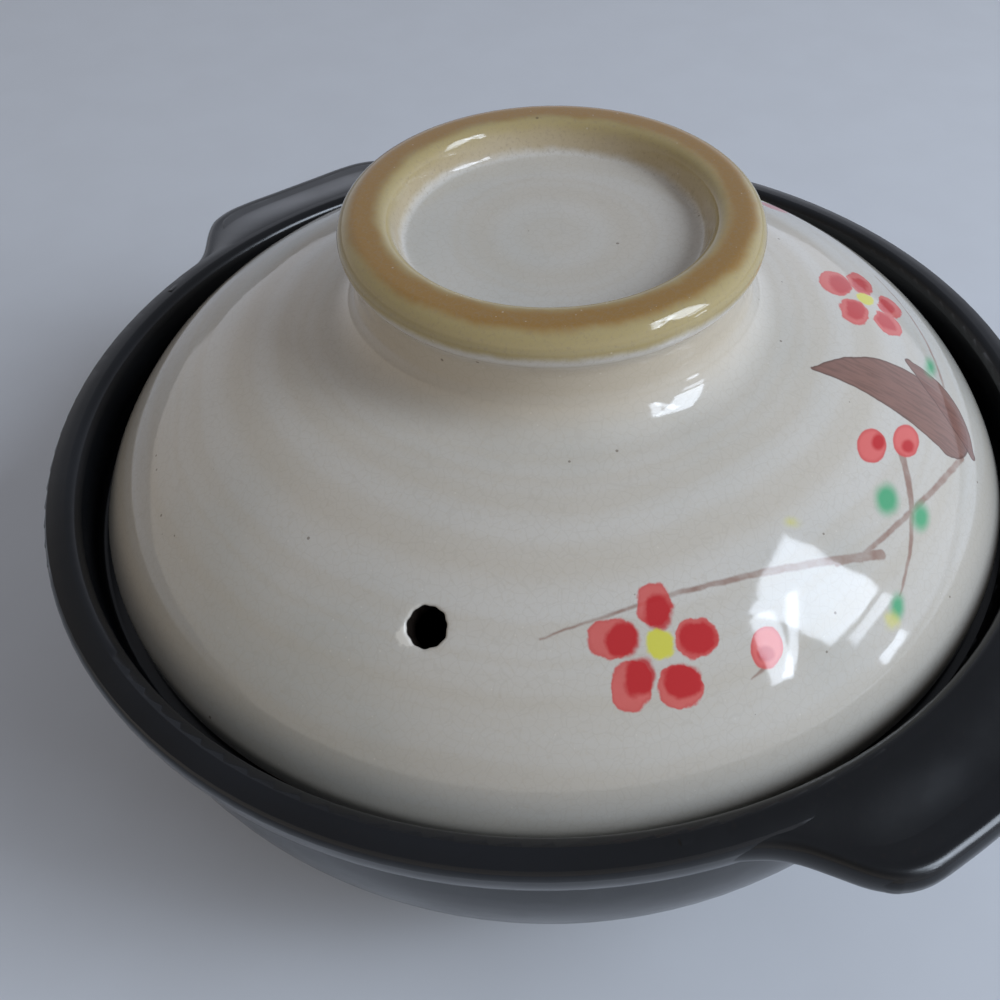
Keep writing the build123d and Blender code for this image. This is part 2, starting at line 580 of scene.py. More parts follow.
class Brush:
    """The two marks that a brush makes, each a node group that gives the depth inside the mark.

    The depth is the distance in from the mark's edge in metres, minus outside, so marks of one colour
    run together by taking the largest depth.
    """

    def __init__(self) -> None:
        """Make both groups."""
        self.dab_group = self._make_dab()
        self.stroke_group = self._make_stroke()

    @staticmethod
    def _new_group(
        name: str, vectors: Sequence[str], numbers: Sequence[str]
    ) -> tuple[Bench, bpy.types.Node, bpy.types.Node]:
        """Make an empty group with a depth output.

        Args:
            name: Name of the group.
            vectors: Names of its vector inputs.
            numbers: Names of its number inputs.

        Returns:
            Its bench, the node that its inputs come from and the one that its output leaves by.
        """
        tree = bpy.data.node_groups.new(name, "ShaderNodeTree")
        for kind, labels in (("NodeSocketVector", vectors), ("NodeSocketFloat", numbers)):
            for label in labels:
                tree.interface.new_socket(label, in_out="INPUT", socket_type=kind)
        tree.interface.new_socket("Depth", in_out="OUTPUT", socket_type="NodeSocketFloat")
        bench = Bench(tree)
        return bench, bench.node("NodeGroupInput"), bench.node("NodeGroupOutput")

    def _make_dab(self) -> bpy.types.NodeTree:
        """Depth inside an oval: one less the length in the oval's own frame, times its shorter half.

        Returns:
            The node group.
        """
        vectors = ("Place", "Centre", "Turn", "Halves")
        bench, come, leave = self._new_group("brush_dab", vectors, ("Short Half",))
        given = come.outputs
        feeds = {
            "Vector": given["Place"], "Location": given["Centre"],
            "Rotation": given["Turn"], "Scale": given["Halves"],
        }
        own = bench.node("ShaderNodeMapping", feeds, vector_type="TEXTURE").outputs["Vector"]
        rest = bench.math("SUBTRACT", 1.0, bench.measure("LENGTH", own))
        bench.feed(leave.inputs["Depth"], bench.math("MULTIPLY", rest, given["Short Half"]))
        return bench.tree

    def _make_stroke(self) -> bpy.types.NodeTree:
        """Depth inside a stroke: its half width, less the distance from its bowed spine.

        With t the share of the length, the spine lies bow times 4t(1 - t) to the left of the straight
        line, and the half width runs evenly from start to end, plus belly times 4t(1 - t).

        Returns:
            The node group.
        """
        numbers = ("Length", "Bow", "Half", "Flare", "Belly")
        bench, come, leave = self._new_group("brush_stroke", ("Place", "Start", "Turn"), numbers)
        given = come.outputs
        feeds = {"Vector": given["Place"], "Location": given["Start"], "Rotation": given["Turn"]}
        own = bench.node("ShaderNodeMapping", feeds, vector_type="TEXTURE").outputs["Vector"]
        split = bench.node("ShaderNodeSeparateXYZ", {"Vector": own}).outputs
        share = bench.math("DIVIDE", split["X"], given["Length"], clamp=True)
        rest = bench.math("SUBTRACT", 4.0, bench.math("MULTIPLY", share, 4.0))
        hump = bench.math("MULTIPLY", share, rest)
        beside = bench.math("SUBTRACT", split["Y"], bench.math("MULTIPLY", hump, given["Bow"]))
        beyond = bench.math("SUBTRACT", split["X"], bench.math("MULTIPLY", share, given["Length"]))
        away = bench.node("ShaderNodeCombineXYZ", {"X": beyond, "Y": beside}).outputs["Vector"]
        half = bench.math("MULTIPLY_ADD", share, given["Flare"], given["Half"])
        half = bench.math("MULTIPLY_ADD", hump, given["Belly"], half)
        bench.feed(leave.inputs["Depth"], bench.math("SUBTRACT", half, bench.measure("LENGTH", away)))
        return bench.tree

    def dabs(self, bench: Bench, place: Socket, marks: Sequence[Dab]) -> Socket:
        """Depth inside the nearest of several dabs.

        Args:
            bench: Bench of the material.
            place: Place on the glaze map.
            marks: The dabs.

        Returns:
            The depth, in metres.
        """
        depths = []
        for mark in marks:
            feeds = {
                "Place": place,
                "Centre": (mark.u, mark.v, 0.0),
                "Turn": (0.0, 0.0, radians(mark.turn)),
                "Halves": (mark.half_long, mark.half_wide, 1.0),
                "Short Half": mark.half_wide,
            }
            depths.append(bench.node("ShaderNodeGroup", feeds, node_tree=self.dab_group).outputs["Depth"])
        return bench.widest(depths)

    def strokes(self, bench: Bench, place: Socket, marks: Sequence[Stroke]) -> Socket:
        """Depth inside the nearest of several strokes.

        Args:
            bench: Bench of the material.
            place: Place on the glaze map.
            marks: The strokes.

        Returns:
            The depth, in metres.
        """
        depths = []
        for mark in marks:
            du, dv = mark.end[0] - mark.start[0], mark.end[1] - mark.start[1]
            feeds = {
                "Place": place,
                "Start": (*mark.start, 0.0),
                "Turn": (0.0, 0.0, float(np.arctan2(dv, du))),
                "Length": hypot(du, dv),
                "Bow": mark.bow,
                "Half": mark.half_at_start,
                "Flare": mark.half_at_end - mark.half_at_start,
                "Belly": mark.belly,
            }
            depths.append(bench.node("ShaderNodeGroup", feeds, node_tree=self.stroke_group).outputs["Depth"])
        return bench.widest(depths)


@dataclass(frozen=True)
class PlumBranch:
    """The painted plum branch: where each dab and stroke lies on the glaze map, in metres."""

    petals: tuple[Dab, ...] = (
        Dab(0.0585, -0.0272, 0.0034, 0.0028, 136),
        Dab(0.0588, -0.0356, 0.0038, 0.0033, 55),
        Dab(0.0664, -0.0250, 0.0034, 0.0031, 67),
        Dab(0.0661, -0.0373, 0.0038, 0.0032, 141),
        Dab(0.0707, -0.0314, 0.0035, 0.0034, 69),
        Dab(0.0246, 0.0487, 0.0050, 0.0034, 116),
        Dab(0.0252, 0.0565, 0.0050, 0.0029, 120),
        Dab(0.0326, 0.0454, 0.0050, 0.0031, 113),
        Dab(0.0326, 0.0585, 0.0046, 0.0029, 116),
        Dab(0.0369, 0.0520, 0.0042, 0.0032, 117),
        Dab(-0.0078, 0.0672, 0.0040, 0.0032, 100),
        Dab(-0.0152, 0.0645, 0.0042, 0.0032, 150),
        Dab(-0.0092, 0.0750, 0.0042, 0.0031, 40),
        Dab(-0.0210, 0.0698, 0.0041, 0.0032, 10),
        Dab(-0.0172, 0.0763, 0.0040, 0.0031, 120),
    )
    hearts: tuple[Dab, ...] = (
        Dab(0.0599, -0.0275, 0.0025, 0.0020, 135),
        Dab(0.0600, -0.0344, 0.0025, 0.0024, 122),
        Dab(0.0666, -0.0249, 0.0027, 0.0024, 64),
        Dab(0.0658, -0.0355, 0.0026, 0.0022, 141),
        Dab(0.0702, -0.0306, 0.0027, 0.0025, 68),
    )
    far_hearts: tuple[Dab, ...] = (
        Dab(0.0252, 0.0495, 0.0036, 0.0022, 116),
        Dab(0.0258, 0.0560, 0.0034, 0.0018, 120),
        Dab(0.0322, 0.0462, 0.0036, 0.0020, 113),
        Dab(0.0324, 0.0578, 0.0030, 0.0018, 116),
        Dab(0.0362, 0.0520, 0.0028, 0.0020, 117),
        Dab(-0.0090, 0.0678, 0.0026, 0.0020, 100),
        Dab(-0.0150, 0.0655, 0.0026, 0.0020, 150),
        Dab(-0.0100, 0.0742, 0.0026, 0.0019, 40),
        Dab(-0.0198, 0.0700, 0.0026, 0.0020, 10),
        Dab(-0.0166, 0.0754, 0.0026, 0.0019, 120),
    )
    buds: tuple[Dab, ...] = (
        Dab(0.0574, 0.0228, 0.0041, 0.0027, 109),
        Dab(0.0594, 0.0310, 0.0042, 0.0026, 110),
        Dab(0.0739, -0.0165, 0.0033, 0.0027, 134),
    )
    bud_spots: tuple[Dab, ...] = (
        Dab(0.0574, 0.0246, 0.0019, 0.0012, 115),
        Dab(0.0604, 0.0305, 0.0018, 0.0011, 96),
        Dab(0.0746, -0.0172, 0.0014, 0.0012, 30),
    )
    eyes: tuple[Dab, ...] = (
        Dab(0.0638, -0.0302, 0.0024, 0.0022, 130),
        Dab(0.0300, 0.0526, 0.0026, 0.0017, 106),
        Dab(-0.0142, 0.0703, 0.0022, 0.0020, 0),
    )
    blots: tuple[Dab, ...] = (
        Dab(0.0611, -0.0006, 0.0012, 0.0008, 67),
        Dab(0.0826, 0.0064, 0.0018, 0.0016, 77),
    )
    leaves: tuple[Dab, ...] = (
        Dab(0.0662, 0.0184, 0.0030, 0.0021, 115),
        Dab(0.0716, 0.0232, 0.0026, 0.0017, 118),
        Dab(0.0813, 0.0087, 0.0019, 0.0015, 130),
        Dab(0.0481, 0.0539, 0.0030, 0.0012, 118),
    )
    bough: tuple[Stroke, ...] = (
        Stroke((0.0407, 0.0239), (0.0590, 0.0441), 0.0028, 0.0004, 0.0076, 0.0016),
        Stroke((0.0462, 0.0478), (0.0668, 0.0486), 0.0017, 0.0010, 0.0012, 0.0027),
    )
    twigs: tuple[Stroke, ...] = (
        Stroke((0.0524, -0.0439), (0.0715, 0.0066), 0.0005, 0.0002, 0.0008),
        Stroke((0.0700, 0.0020), (0.0730, 0.0107), 0.0002, 0.0007, 0.0009),
        Stroke((0.0605, 0.0281), (0.0800, 0.0101), 0.0019, 0.0009, 0.0003),
        Stroke((0.0664, 0.0439), (0.0714, 0.0074), 0.0006, 0.0007, 0.0005),
        Stroke((0.0225, 0.0672), (0.0527, 0.0534), 0.0024, 0.0003, 0.0005),
        Stroke((0.0761, -0.0188), (0.0763, -0.0212), 0.0, 0.0004, 0.0002),
    )


@dataclass(frozen=True)
class PlumPaint:
    """The painter's colours, and how each covers by the depth inside its marks."""

    wash: Colour = clay_colour(212, 88, 82)
    crimson: Colour = clay_colour(190, 34, 40)
    pink: Colour = clay_colour(222, 98, 94)
    yellow: Colour = clay_colour(214, 208, 62)
    bark: Colour = clay_colour(132, 92, 80)
    bark_dark: Colour = clay_colour(84, 56, 48)
    twig: Colour = clay_colour(146, 114, 100)
    shake: Cloud = Cloud(330.0, 3.0)
    loose_hand: float = 0.0022
    steady_hand: float = 0.0007
    flow: Cloud = Cloud(260.0, 3.0)
    bristles: Cloud = Cloud(1500.0, 3.0, 0.6)
    bristle_turn: float = 40.0
    bristle_stretch: float = 9.0
    twig_edge: Fade = Fade(-0.00015, 0.00030)
    twig_flow: Fade = Fade(0.3, 0.7, 0.5, 0.9)
    streaks: Coat = Coat(bark_dark, Fade(0.40, 0.70, 0.0, 0.5))
    bark_rim: Coat = Coat(bark_dark, Fade(0.0001, 0.0007, 0.8, 0.0))
    bark_edge: Fade = Fade(-0.0001, 0.00018, 0.0, 0.93)
    leaf: Coat = Coat(clay_colour(76, 166, 118), Fade(-0.0010, 0.0011, 0.0, 0.95))
    thinned: Coat = Coat(pink, Fade(0.35, 0.7, 0.0, 0.35))
    petal_rim: Coat = Coat(crimson, Fade(0.0, 0.0007, 0.45, 0.0))
    petal_edge: Fade = Fade(-0.0001, 0.0003, 0.0, 0.90)
    heart: Coat = Coat(crimson, Fade(-0.0006, 0.0004, 0.0, 0.90))
    far_heart: Coat = Coat(crimson, Fade(-0.0005, 0.0005, 0.0, 0.82))
    bud_rim: Coat = Coat(crimson, Fade(0.0, 0.0008, 0.5, 0.0))
    bud_edge: Fade = Fade(-0.0001, 0.0002, 0.0, 0.92)
    bud_spot: Coat = Coat(crimson, Fade(-0.0004, 0.0004, 0.0, 0.9))
    eye: Coat = Coat(yellow, Fade(-0.0003, 0.0003, 0.0, 0.9))
    blot: Coat = Coat(yellow, Fade(-0.0008, 0.0010, 0.0, 0.5))

    def lay(self, bench: Bench, colour: Socket) -> Socket:
        """Paint the plum branch over the glaze, twigs and leaves first.

        Args:
            bench: Bench of the material.
            colour: Colour of the glaze.

        Returns:
            The painted colour.
        """
        branch, brush = PlumBranch(), Brush()
        flat = bench.node("ShaderNodeUVMap", uv_map="glaze_map").outputs["UV"]
        shake = bench.vector("SUBTRACT", bench.noise(flat, self.shake, "Color"), (0.5, 0.5, 0.5))
        loose = bench.vector("MULTIPLY_ADD", shake, (self.loose_hand, self.loose_hand, 0.0), flat)
        steady = bench.vector("MULTIPLY_ADD", shake, (self.steady_hand, self.steady_hand, 0.0), flat)
        flow = bench.noise(flat, self.flow)
        combed = {
            "Vector": steady,
            "Rotation": (0.0, 0.0, radians(self.bristle_turn)),
            "Scale": (self.bristle_stretch, 1.0, 1.0),
        }
        hair = bench.node("ShaderNodeMapping", combed, vector_type="TEXTURE").outputs["Vector"]
        streaked = bench.coat(self.bark, bench.noise(hair, self.bristles), self.streaks)

        twig = bench.fade(brush.strokes(bench, steady, branch.twigs), self.twig_edge)
        twig = bench.math("MULTIPLY", twig, bench.fade(flow, self.twig_flow))
        colour = bench.blend(twig, colour, self.twig)
        for stroke in branch.bough:
            inside = brush.strokes(bench, steady, (stroke,))
            rimmed = bench.coat(streaked, inside, self.bark_rim)
            colour = bench.blend(bench.fade(inside, self.bark_edge), colour, rimmed)
        colour = bench.coat(colour, brush.dabs(bench, steady, branch.leaves), self.leaf)

        petal = brush.dabs(bench, loose, branch.petals)
        rimmed = bench.coat(bench.coat(self.wash, flow, self.thinned), petal, self.petal_rim)
        colour = bench.blend(bench.fade(petal, self.petal_edge), colour, rimmed)
        colour = bench.coat(colour, brush.dabs(bench, loose, branch.hearts), self.heart)
        colour = bench.coat(colour, brush.dabs(bench, loose, branch.far_hearts), self.far_heart)
        bud = brush.dabs(bench, steady, branch.buds)
        rimmed = bench.coat(self.pink, bud, self.bud_rim)
        colour = bench.blend(bench.fade(bud, self.bud_edge), colour, rimmed)
        colour = bench.coat(colour, brush.dabs(bench, steady, branch.bud_spots), self.bud_spot)
        colour = bench.coat(colour, brush.dabs(bench, loose, branch.eyes), self.eye)
        return bench.coat(colour, brush.dabs(bench, loose, branch.blots), self.blot)


# Finishes


@dataclass(frozen=True)
class CreamGlaze:
    """Glossy cream glaze with fine crazing over buff clay, amber where it runs thin on the ring knob.

    Scales are in features per metre. A reach is a distance in metres.
    """

    cream: Colour = clay_colour(206, 201, 192)
    buff: Colour = clay_colour(192, 180, 160)
    amber: Colour = clay_colour(154, 118, 64)
    ochre: Colour = clay_colour(172, 155, 110)
    tan: Colour = clay_colour(184, 168, 138)
    speck: Colour = clay_colour(92, 74, 58)
    bare: Colour = clay_colour(186, 166, 138)
    chalk: Colour = clay_colour(226, 220, 208)
    # painted shade: near-black laid in the steam hole's bore, where little light gets in
    painted_hole_shade: Colour = clay_colour(38, 32, 28)
    # painted shade: a grey that the glaze darkens to towards the lip
    painted_lip_shade: Colour = clay_colour(164, 160, 148)
    clouds: Cloud = Cloud(16.0, 3.0)
    grey: Coat = Coat(clay_colour(190, 189, 182), Fade(0.38, 0.66))
    drift: Cloud = Cloud(30.0)
    drift_reach: float = 0.006
    band_scale: float = 95.0
    band_detail: float = 3.0
    bands: Coat = Coat(buff, Fade(0.35, 0.7, 0.0, 0.45))
    # where the painted shade towards the lip begins, where it is full, and how much it covers
    lip_shade_reach: float = 0.042
    full_lip_shade_reach: float = 0.008
    lip_shade_cover: float = 0.24
    wear: Cloud = Cloud(150.0, 4.0, 0.6)
    wear_reach: float = 0.0024
    knob_stops: tuple[tuple[Landmark, float, Colour], ...] = (
        (Landmark.RECESS, 0.0004, cream),
        (Landmark.RECESS, 0.0026, tan),
        (Landmark.RING_INNER, -0.0014, ochre),
        (Landmark.RING_INNER, 0.0010, amber),
        (Landmark.RING_TOP, 0.0004, amber),
        (Landmark.RING_TOP, 0.0026, ochre),
        (Landmark.RING_SIDE, -0.0002, ochre),
        (Landmark.RING_SIDE, 0.0020, cream),
        (Landmark.RING_SIDE, 0.0060, buff),
        (Landmark.RING_SIDE, 0.0110, buff),
    )
    knob_span: float = 0.022
    recess_fade: float = 0.0008
    neck_reach: float = 0.0090
    full_neck_reach: float = 0.0200
    grain: Cloud = Cloud(1700.0, 3.0, 0.7)
    rust_reach: float = 0.003
    rust: Fade = Fade(0.5, 0.75, 0.0, 0.25)
    sand: Coat = Coat(tan, Fade(0.48, 0.72, 0.0, 0.16))
    warp: Cloud = Cloud(240.0)
    warp_reach: float = 0.0016
    crack_scale: float = 620.0
    cracks: Coat = Coat(clay_colour(150, 138, 120), Fade(0.010, 0.070, 0.10, 0.0))
    spots: Specks = Specks(
        330.0, Channel.RED, Fade(0.84, 1.0, 0.0, 0.11), Coat(speck, Fade(-0.03, 0.0, 0.6, 0.0))
    )
    pinholes: Specks = Specks(
        760.0, Channel.GREEN, Fade(0.7, 1.0, 0.0, 0.15), Coat(chalk, Fade(-0.05, 0.0, 0.3, 0.0))
    )
    foot_tear: Cloud = Cloud(900.0)
    foot_tear_reach: float = 0.0012
    foot_line: float = 0.0016
    foot_line_end: float = 0.0023
    chip_tear: Cloud = Cloud(900.0, 3.0)
    chip_tear_reach: float = 0.0016
    chip: Fade = Fade(0.0021, 0.0028, 0.85, 0.0)
    # how far below the mouth and how near the hole's line the painted shade in the steam hole lies
    hole_depth: Fade = Fade(-0.0008, -0.0003, 1.0, 0.0)
    hole_reach: Fade = Fade(0.0036, 0.0038, 1.0, 0.0)
    mottle: Cloud = Cloud(90.0, 3.0)
    gloss: Fade = Fade(0.25, 0.75, 0.05, 0.09)
    chip_dullness: float = 0.6
    bare_roughness: float = 0.6
    pits: Cloud = Cloud(1400.0)
    relief: Relief = Relief(Cloud(140.0), 0.06, 0.25, 0.00016)

    def make(self, lid: "Lid") -> bpy.types.Material:
        """Wire the glaze with its painting.

        Args:
            lid: The lid that it goes on, for its outline's landmarks and the steam hole.

        Returns:
            The finished material.
        """
        finish, bench, shader, where = new_finish("cream_glaze")
        along = bench.node("ShaderNodeAttribute", attribute_name="outline").outputs["Fac"]
        wavy = bench.torn(along, where, self.drift, self.drift_reach)
        colour = self._turned(bench, where, wavy, lid)
        colour = self._fired(bench, where, self._on_knob(bench, where, along, colour, lid))
        colour = PlumPaint().lay(bench, colour)
        foot = bench.torn(bench.height(where), where, self.foot_tear, self.foot_tear_reach)
        line = Fade(lid.foot_level + self.foot_line, lid.foot_level + self.foot_line_end, 1.0, 0.0)
        bare = bench.fade(foot, line)
        colour = bench.blend(bare, colour, self.bare)
        chips = bench.measure("DISTANCE", where, lid.chip_middle)
        chipped = bench.fade(bench.torn(chips, where, self.chip_tear, self.chip_tear_reach), self.chip)
        colour = bench.blend(chipped, colour, self.chalk)
        # Painted shade: the steam hole's bore is coloured near-black.
        colour = bench.blend(self._in_hole(bench, where, lid), colour, self.painted_hole_shade)
        bench.feed(shader.inputs["Base Color"], colour)
        dull = bench.math("MAXIMUM", bare, bench.math("MULTIPLY", chipped, self.chip_dullness))
        gloss = bench.fade(bench.noise(where, self.mottle), self.gloss)
        bench.feed(shader.inputs["Roughness"], bench.math("MULTIPLY_ADD", dull, self.bare_roughness, gloss))
        pits = bench.noise(where, self.pits)
        bench.feed(shader.inputs["Normal"], bench.relief(where, pits, self.relief))
        return finish

    def _turned(self, bench: Bench, where: Socket, wavy: Socket, lid: "Lid") -> Socket:
        """Clouds, turned bands, and painted shade that darkens the glaze towards the lip.

        Args:
            bench: Bench of the material.
            where: Object coordinates.
            wavy: Uneven distance along the outline.
            lid: The lid, for its outline.

        Returns:
            The colour.
        """
        colour = bench.coat(self.cream, bench.noise(where, self.clouds), self.grey)
        feeds = {"W": wavy, "Scale": self.band_scale, "Detail": self.band_detail}
        rings = bench.node("ShaderNodeTexNoise", feeds, noise_dimensions="1D").outputs["Fac"]
        colour = bench.coat(colour, rings, self.bands)
        # Painted shade: the glaze is laid darker towards the lip.
        low, full = lid.lip_along - self.lip_shade_reach, lid.lip_along - self.full_lip_shade_reach
        return bench.coat(colour, wavy, Coat(self.painted_lip_shade, Fade(low, full, 0.0, self.lip_shade_cover)))

    def _on_knob(self, bench: Bench, where: Socket, along: Socket, colour: Socket, lid: "Lid") -> Socket:
        """Amber and ochre on the ring knob, with rust grain in them.

        Args:
            bench: Bench of the material.
            where: Object coordinates.
            along: Distance along the outline from the middle of the knob.
            colour: Colour of the dome.
            lid: The lid, for its outline's landmarks.

        Returns:
            The colour with the knob's.
        """
        recess, side = lid.marks[Landmark.RECESS], lid.marks[Landmark.RING_SIDE]
        span = side + self.knob_span
        worn = bench.torn(along, where, self.wear, self.wear_reach)
        worn = bench.math("SUBTRACT", worn, self.wear_reach / 2)
        stops = [((lid.marks[mark] + offset) / span, stop) for mark, offset, stop in self.knob_stops]
        tint = bench.ramp(bench.math("DIVIDE", worn, span), stops)
        inner = bench.fade(worn, Fade(recess, recess + self.recess_fade))
        neck = bench.fade(worn, Fade(side + self.neck_reach, side + self.full_neck_reach, 1.0, 0.0))
        on_knob = bench.math("MULTIPLY", inner, neck)
        colour = bench.blend(on_knob, colour, tint)
        rust = bench.math("MULTIPLY", bench.fade(worn, Fade(side, side + self.rust_reach, 1.0, 0.0)), on_knob)
        rust = bench.math("MULTIPLY", rust, bench.fade(bench.noise(where, self.grain), self.rust))
        return bench.blend(rust, colour, self.speck)

    def _fired(self, bench: Bench, where: Socket, colour: Socket) -> Socket:
        """What the fire leaves: sandy grain, crazing, dark spots and pale pinholes.

        Args:
            bench: Bench of the material.
            where: Object coordinates.
            colour: Colour of the glaze.

        Returns:
            The colour under the painting.
        """
        colour = bench.coat(colour, bench.noise(where, self.grain), self.sand)
        reach = (self.warp_reach,) * 3
        warped = bench.vector("MULTIPLY_ADD", bench.noise(where, self.warp, "Color"), reach, where)
        crack = bench.cells(warped, self.crack_scale, "DISTANCE_TO_EDGE").outputs["Distance"]
        colour = bench.coat(colour, crack, self.cracks)
        return bench.specks(bench.specks(colour, where, self.spots), where, self.pinholes)

    def _in_hole(self, bench: Bench, where: Socket, lid: "Lid") -> Socket:
        """Share of the painted shade in the steam hole: 1 below its mouth, and near its own line.

        Args:
            bench: Bench of the material.
            where: Object coordinates.
            lid: The lid, for the hole's mouth and way.

        Returns:
            The share.
        """
        from_mouth = bench.vector("SUBTRACT", where, lid.hole_mouth)
        depth = bench.measure("DOT_PRODUCT", from_mouth, lid.hole_way)
        aside = bench.measure("LENGTH", bench.vector("CROSS_PRODUCT", from_mouth, lid.hole_way))
        return bench.math("MULTIPLY", bench.fade(depth, self.hole_depth), bench.fade(aside, self.hole_reach))


@dataclass(frozen=True)
class BlackGlaze:
    """Glossy blue-black glaze on the pot, with a brown grain, and bare clay on the foot."""

    black: Colour = clay_colour(15, 16, 18)
    brown: Colour = clay_colour(34, 28, 25)
    bare: Colour = clay_colour(120, 96, 76)
    clouds: Cloud = Cloud(28.0, 4.0)
    bluish: Coat = Coat(clay_colour(22, 24, 28), Fade(0.35, 0.7))
    grain: Cloud = Cloud(1300.0, 3.0, 0.65)
    glaze_grain: Coat = Coat(brown, Fade(0.58, 0.78, 0.0, 0.5))
    clay_grain: Coat = Coat(brown, Fade(0.4, 0.65))
    tear: Cloud = Cloud(300.0, 3.0)
    tear_reach: float = 0.0022
    line_fade: float = 0.0006
    mottle: Cloud = Cloud(60.0, 3.0)
    satin: Fade = Fade(0.3, 0.7, 0.17, 0.26)
    bare_roughness: float = 0.50
    specular: float = 0.42
    relief: Relief = Relief(Cloud(85.0), 0.05, 0.3, 0.0003)

    def make(self, glaze_line: float) -> bpy.types.Material:
        """Wire the glaze.

        Args:
            glaze_line: Height below which the foot is bare.

        Returns:
            The finished material.
        """
        finish, bench, shader, where = new_finish("black_glaze")
        grain = bench.noise(where, self.grain)
        colour = bench.coat(self.black, bench.noise(where, self.clouds), self.bluish)
        colour = bench.coat(colour, grain, self.glaze_grain)
        torn = bench.torn(bench.height(where), where, self.tear, self.tear_reach)
        bare = bench.fade(torn, Fade(glaze_line, glaze_line + self.line_fade, 1.0, 0.0))
        clay = bench.coat(self.bare, grain, self.clay_grain)
        bench.feed(shader.inputs["Base Color"], bench.blend(bare, colour, clay))
        satin = bench.fade(bench.noise(where, self.mottle), self.satin)
        bench.feed(shader.inputs["Roughness"], bench.math("MULTIPLY_ADD", bare, self.bare_roughness, satin))
        bench.feed(shader.inputs["Specular IOR Level"], self.specular)
        bench.feed(shader.inputs["Normal"], bench.relief(where, grain, self.relief))
        return finish


# Lid


@dataclass(frozen=True)
class Ripple:
    """One of the waves of the throwing rings: its share, its pitch, how it drifts and where it starts."""

    share: float
    pitch: float
    drift: float
    phase: float


@dataclass(frozen=True)
class LidRows:
    """How many rows of points each stretch of the lid's outline gets."""

    foot_round: int = 6
    lip: int = 2
    lip_roll: int = 4
    shoulder: int = 30
    crown_per_degree: float = 1.5
    cove: int = 16
    neck: int = 4
    flare: int = 7
    ring_round: int = 12
    ring_flat: int = 3
    ring_inner_round: int = 9
    recess_wall: int = 3
    recess_round: int = 7
    recess_floor: int = 25
    inner_cap: int = 10
    inner_cone: int = 18
    inner_foot_round: int = 5
    underside: int = 2


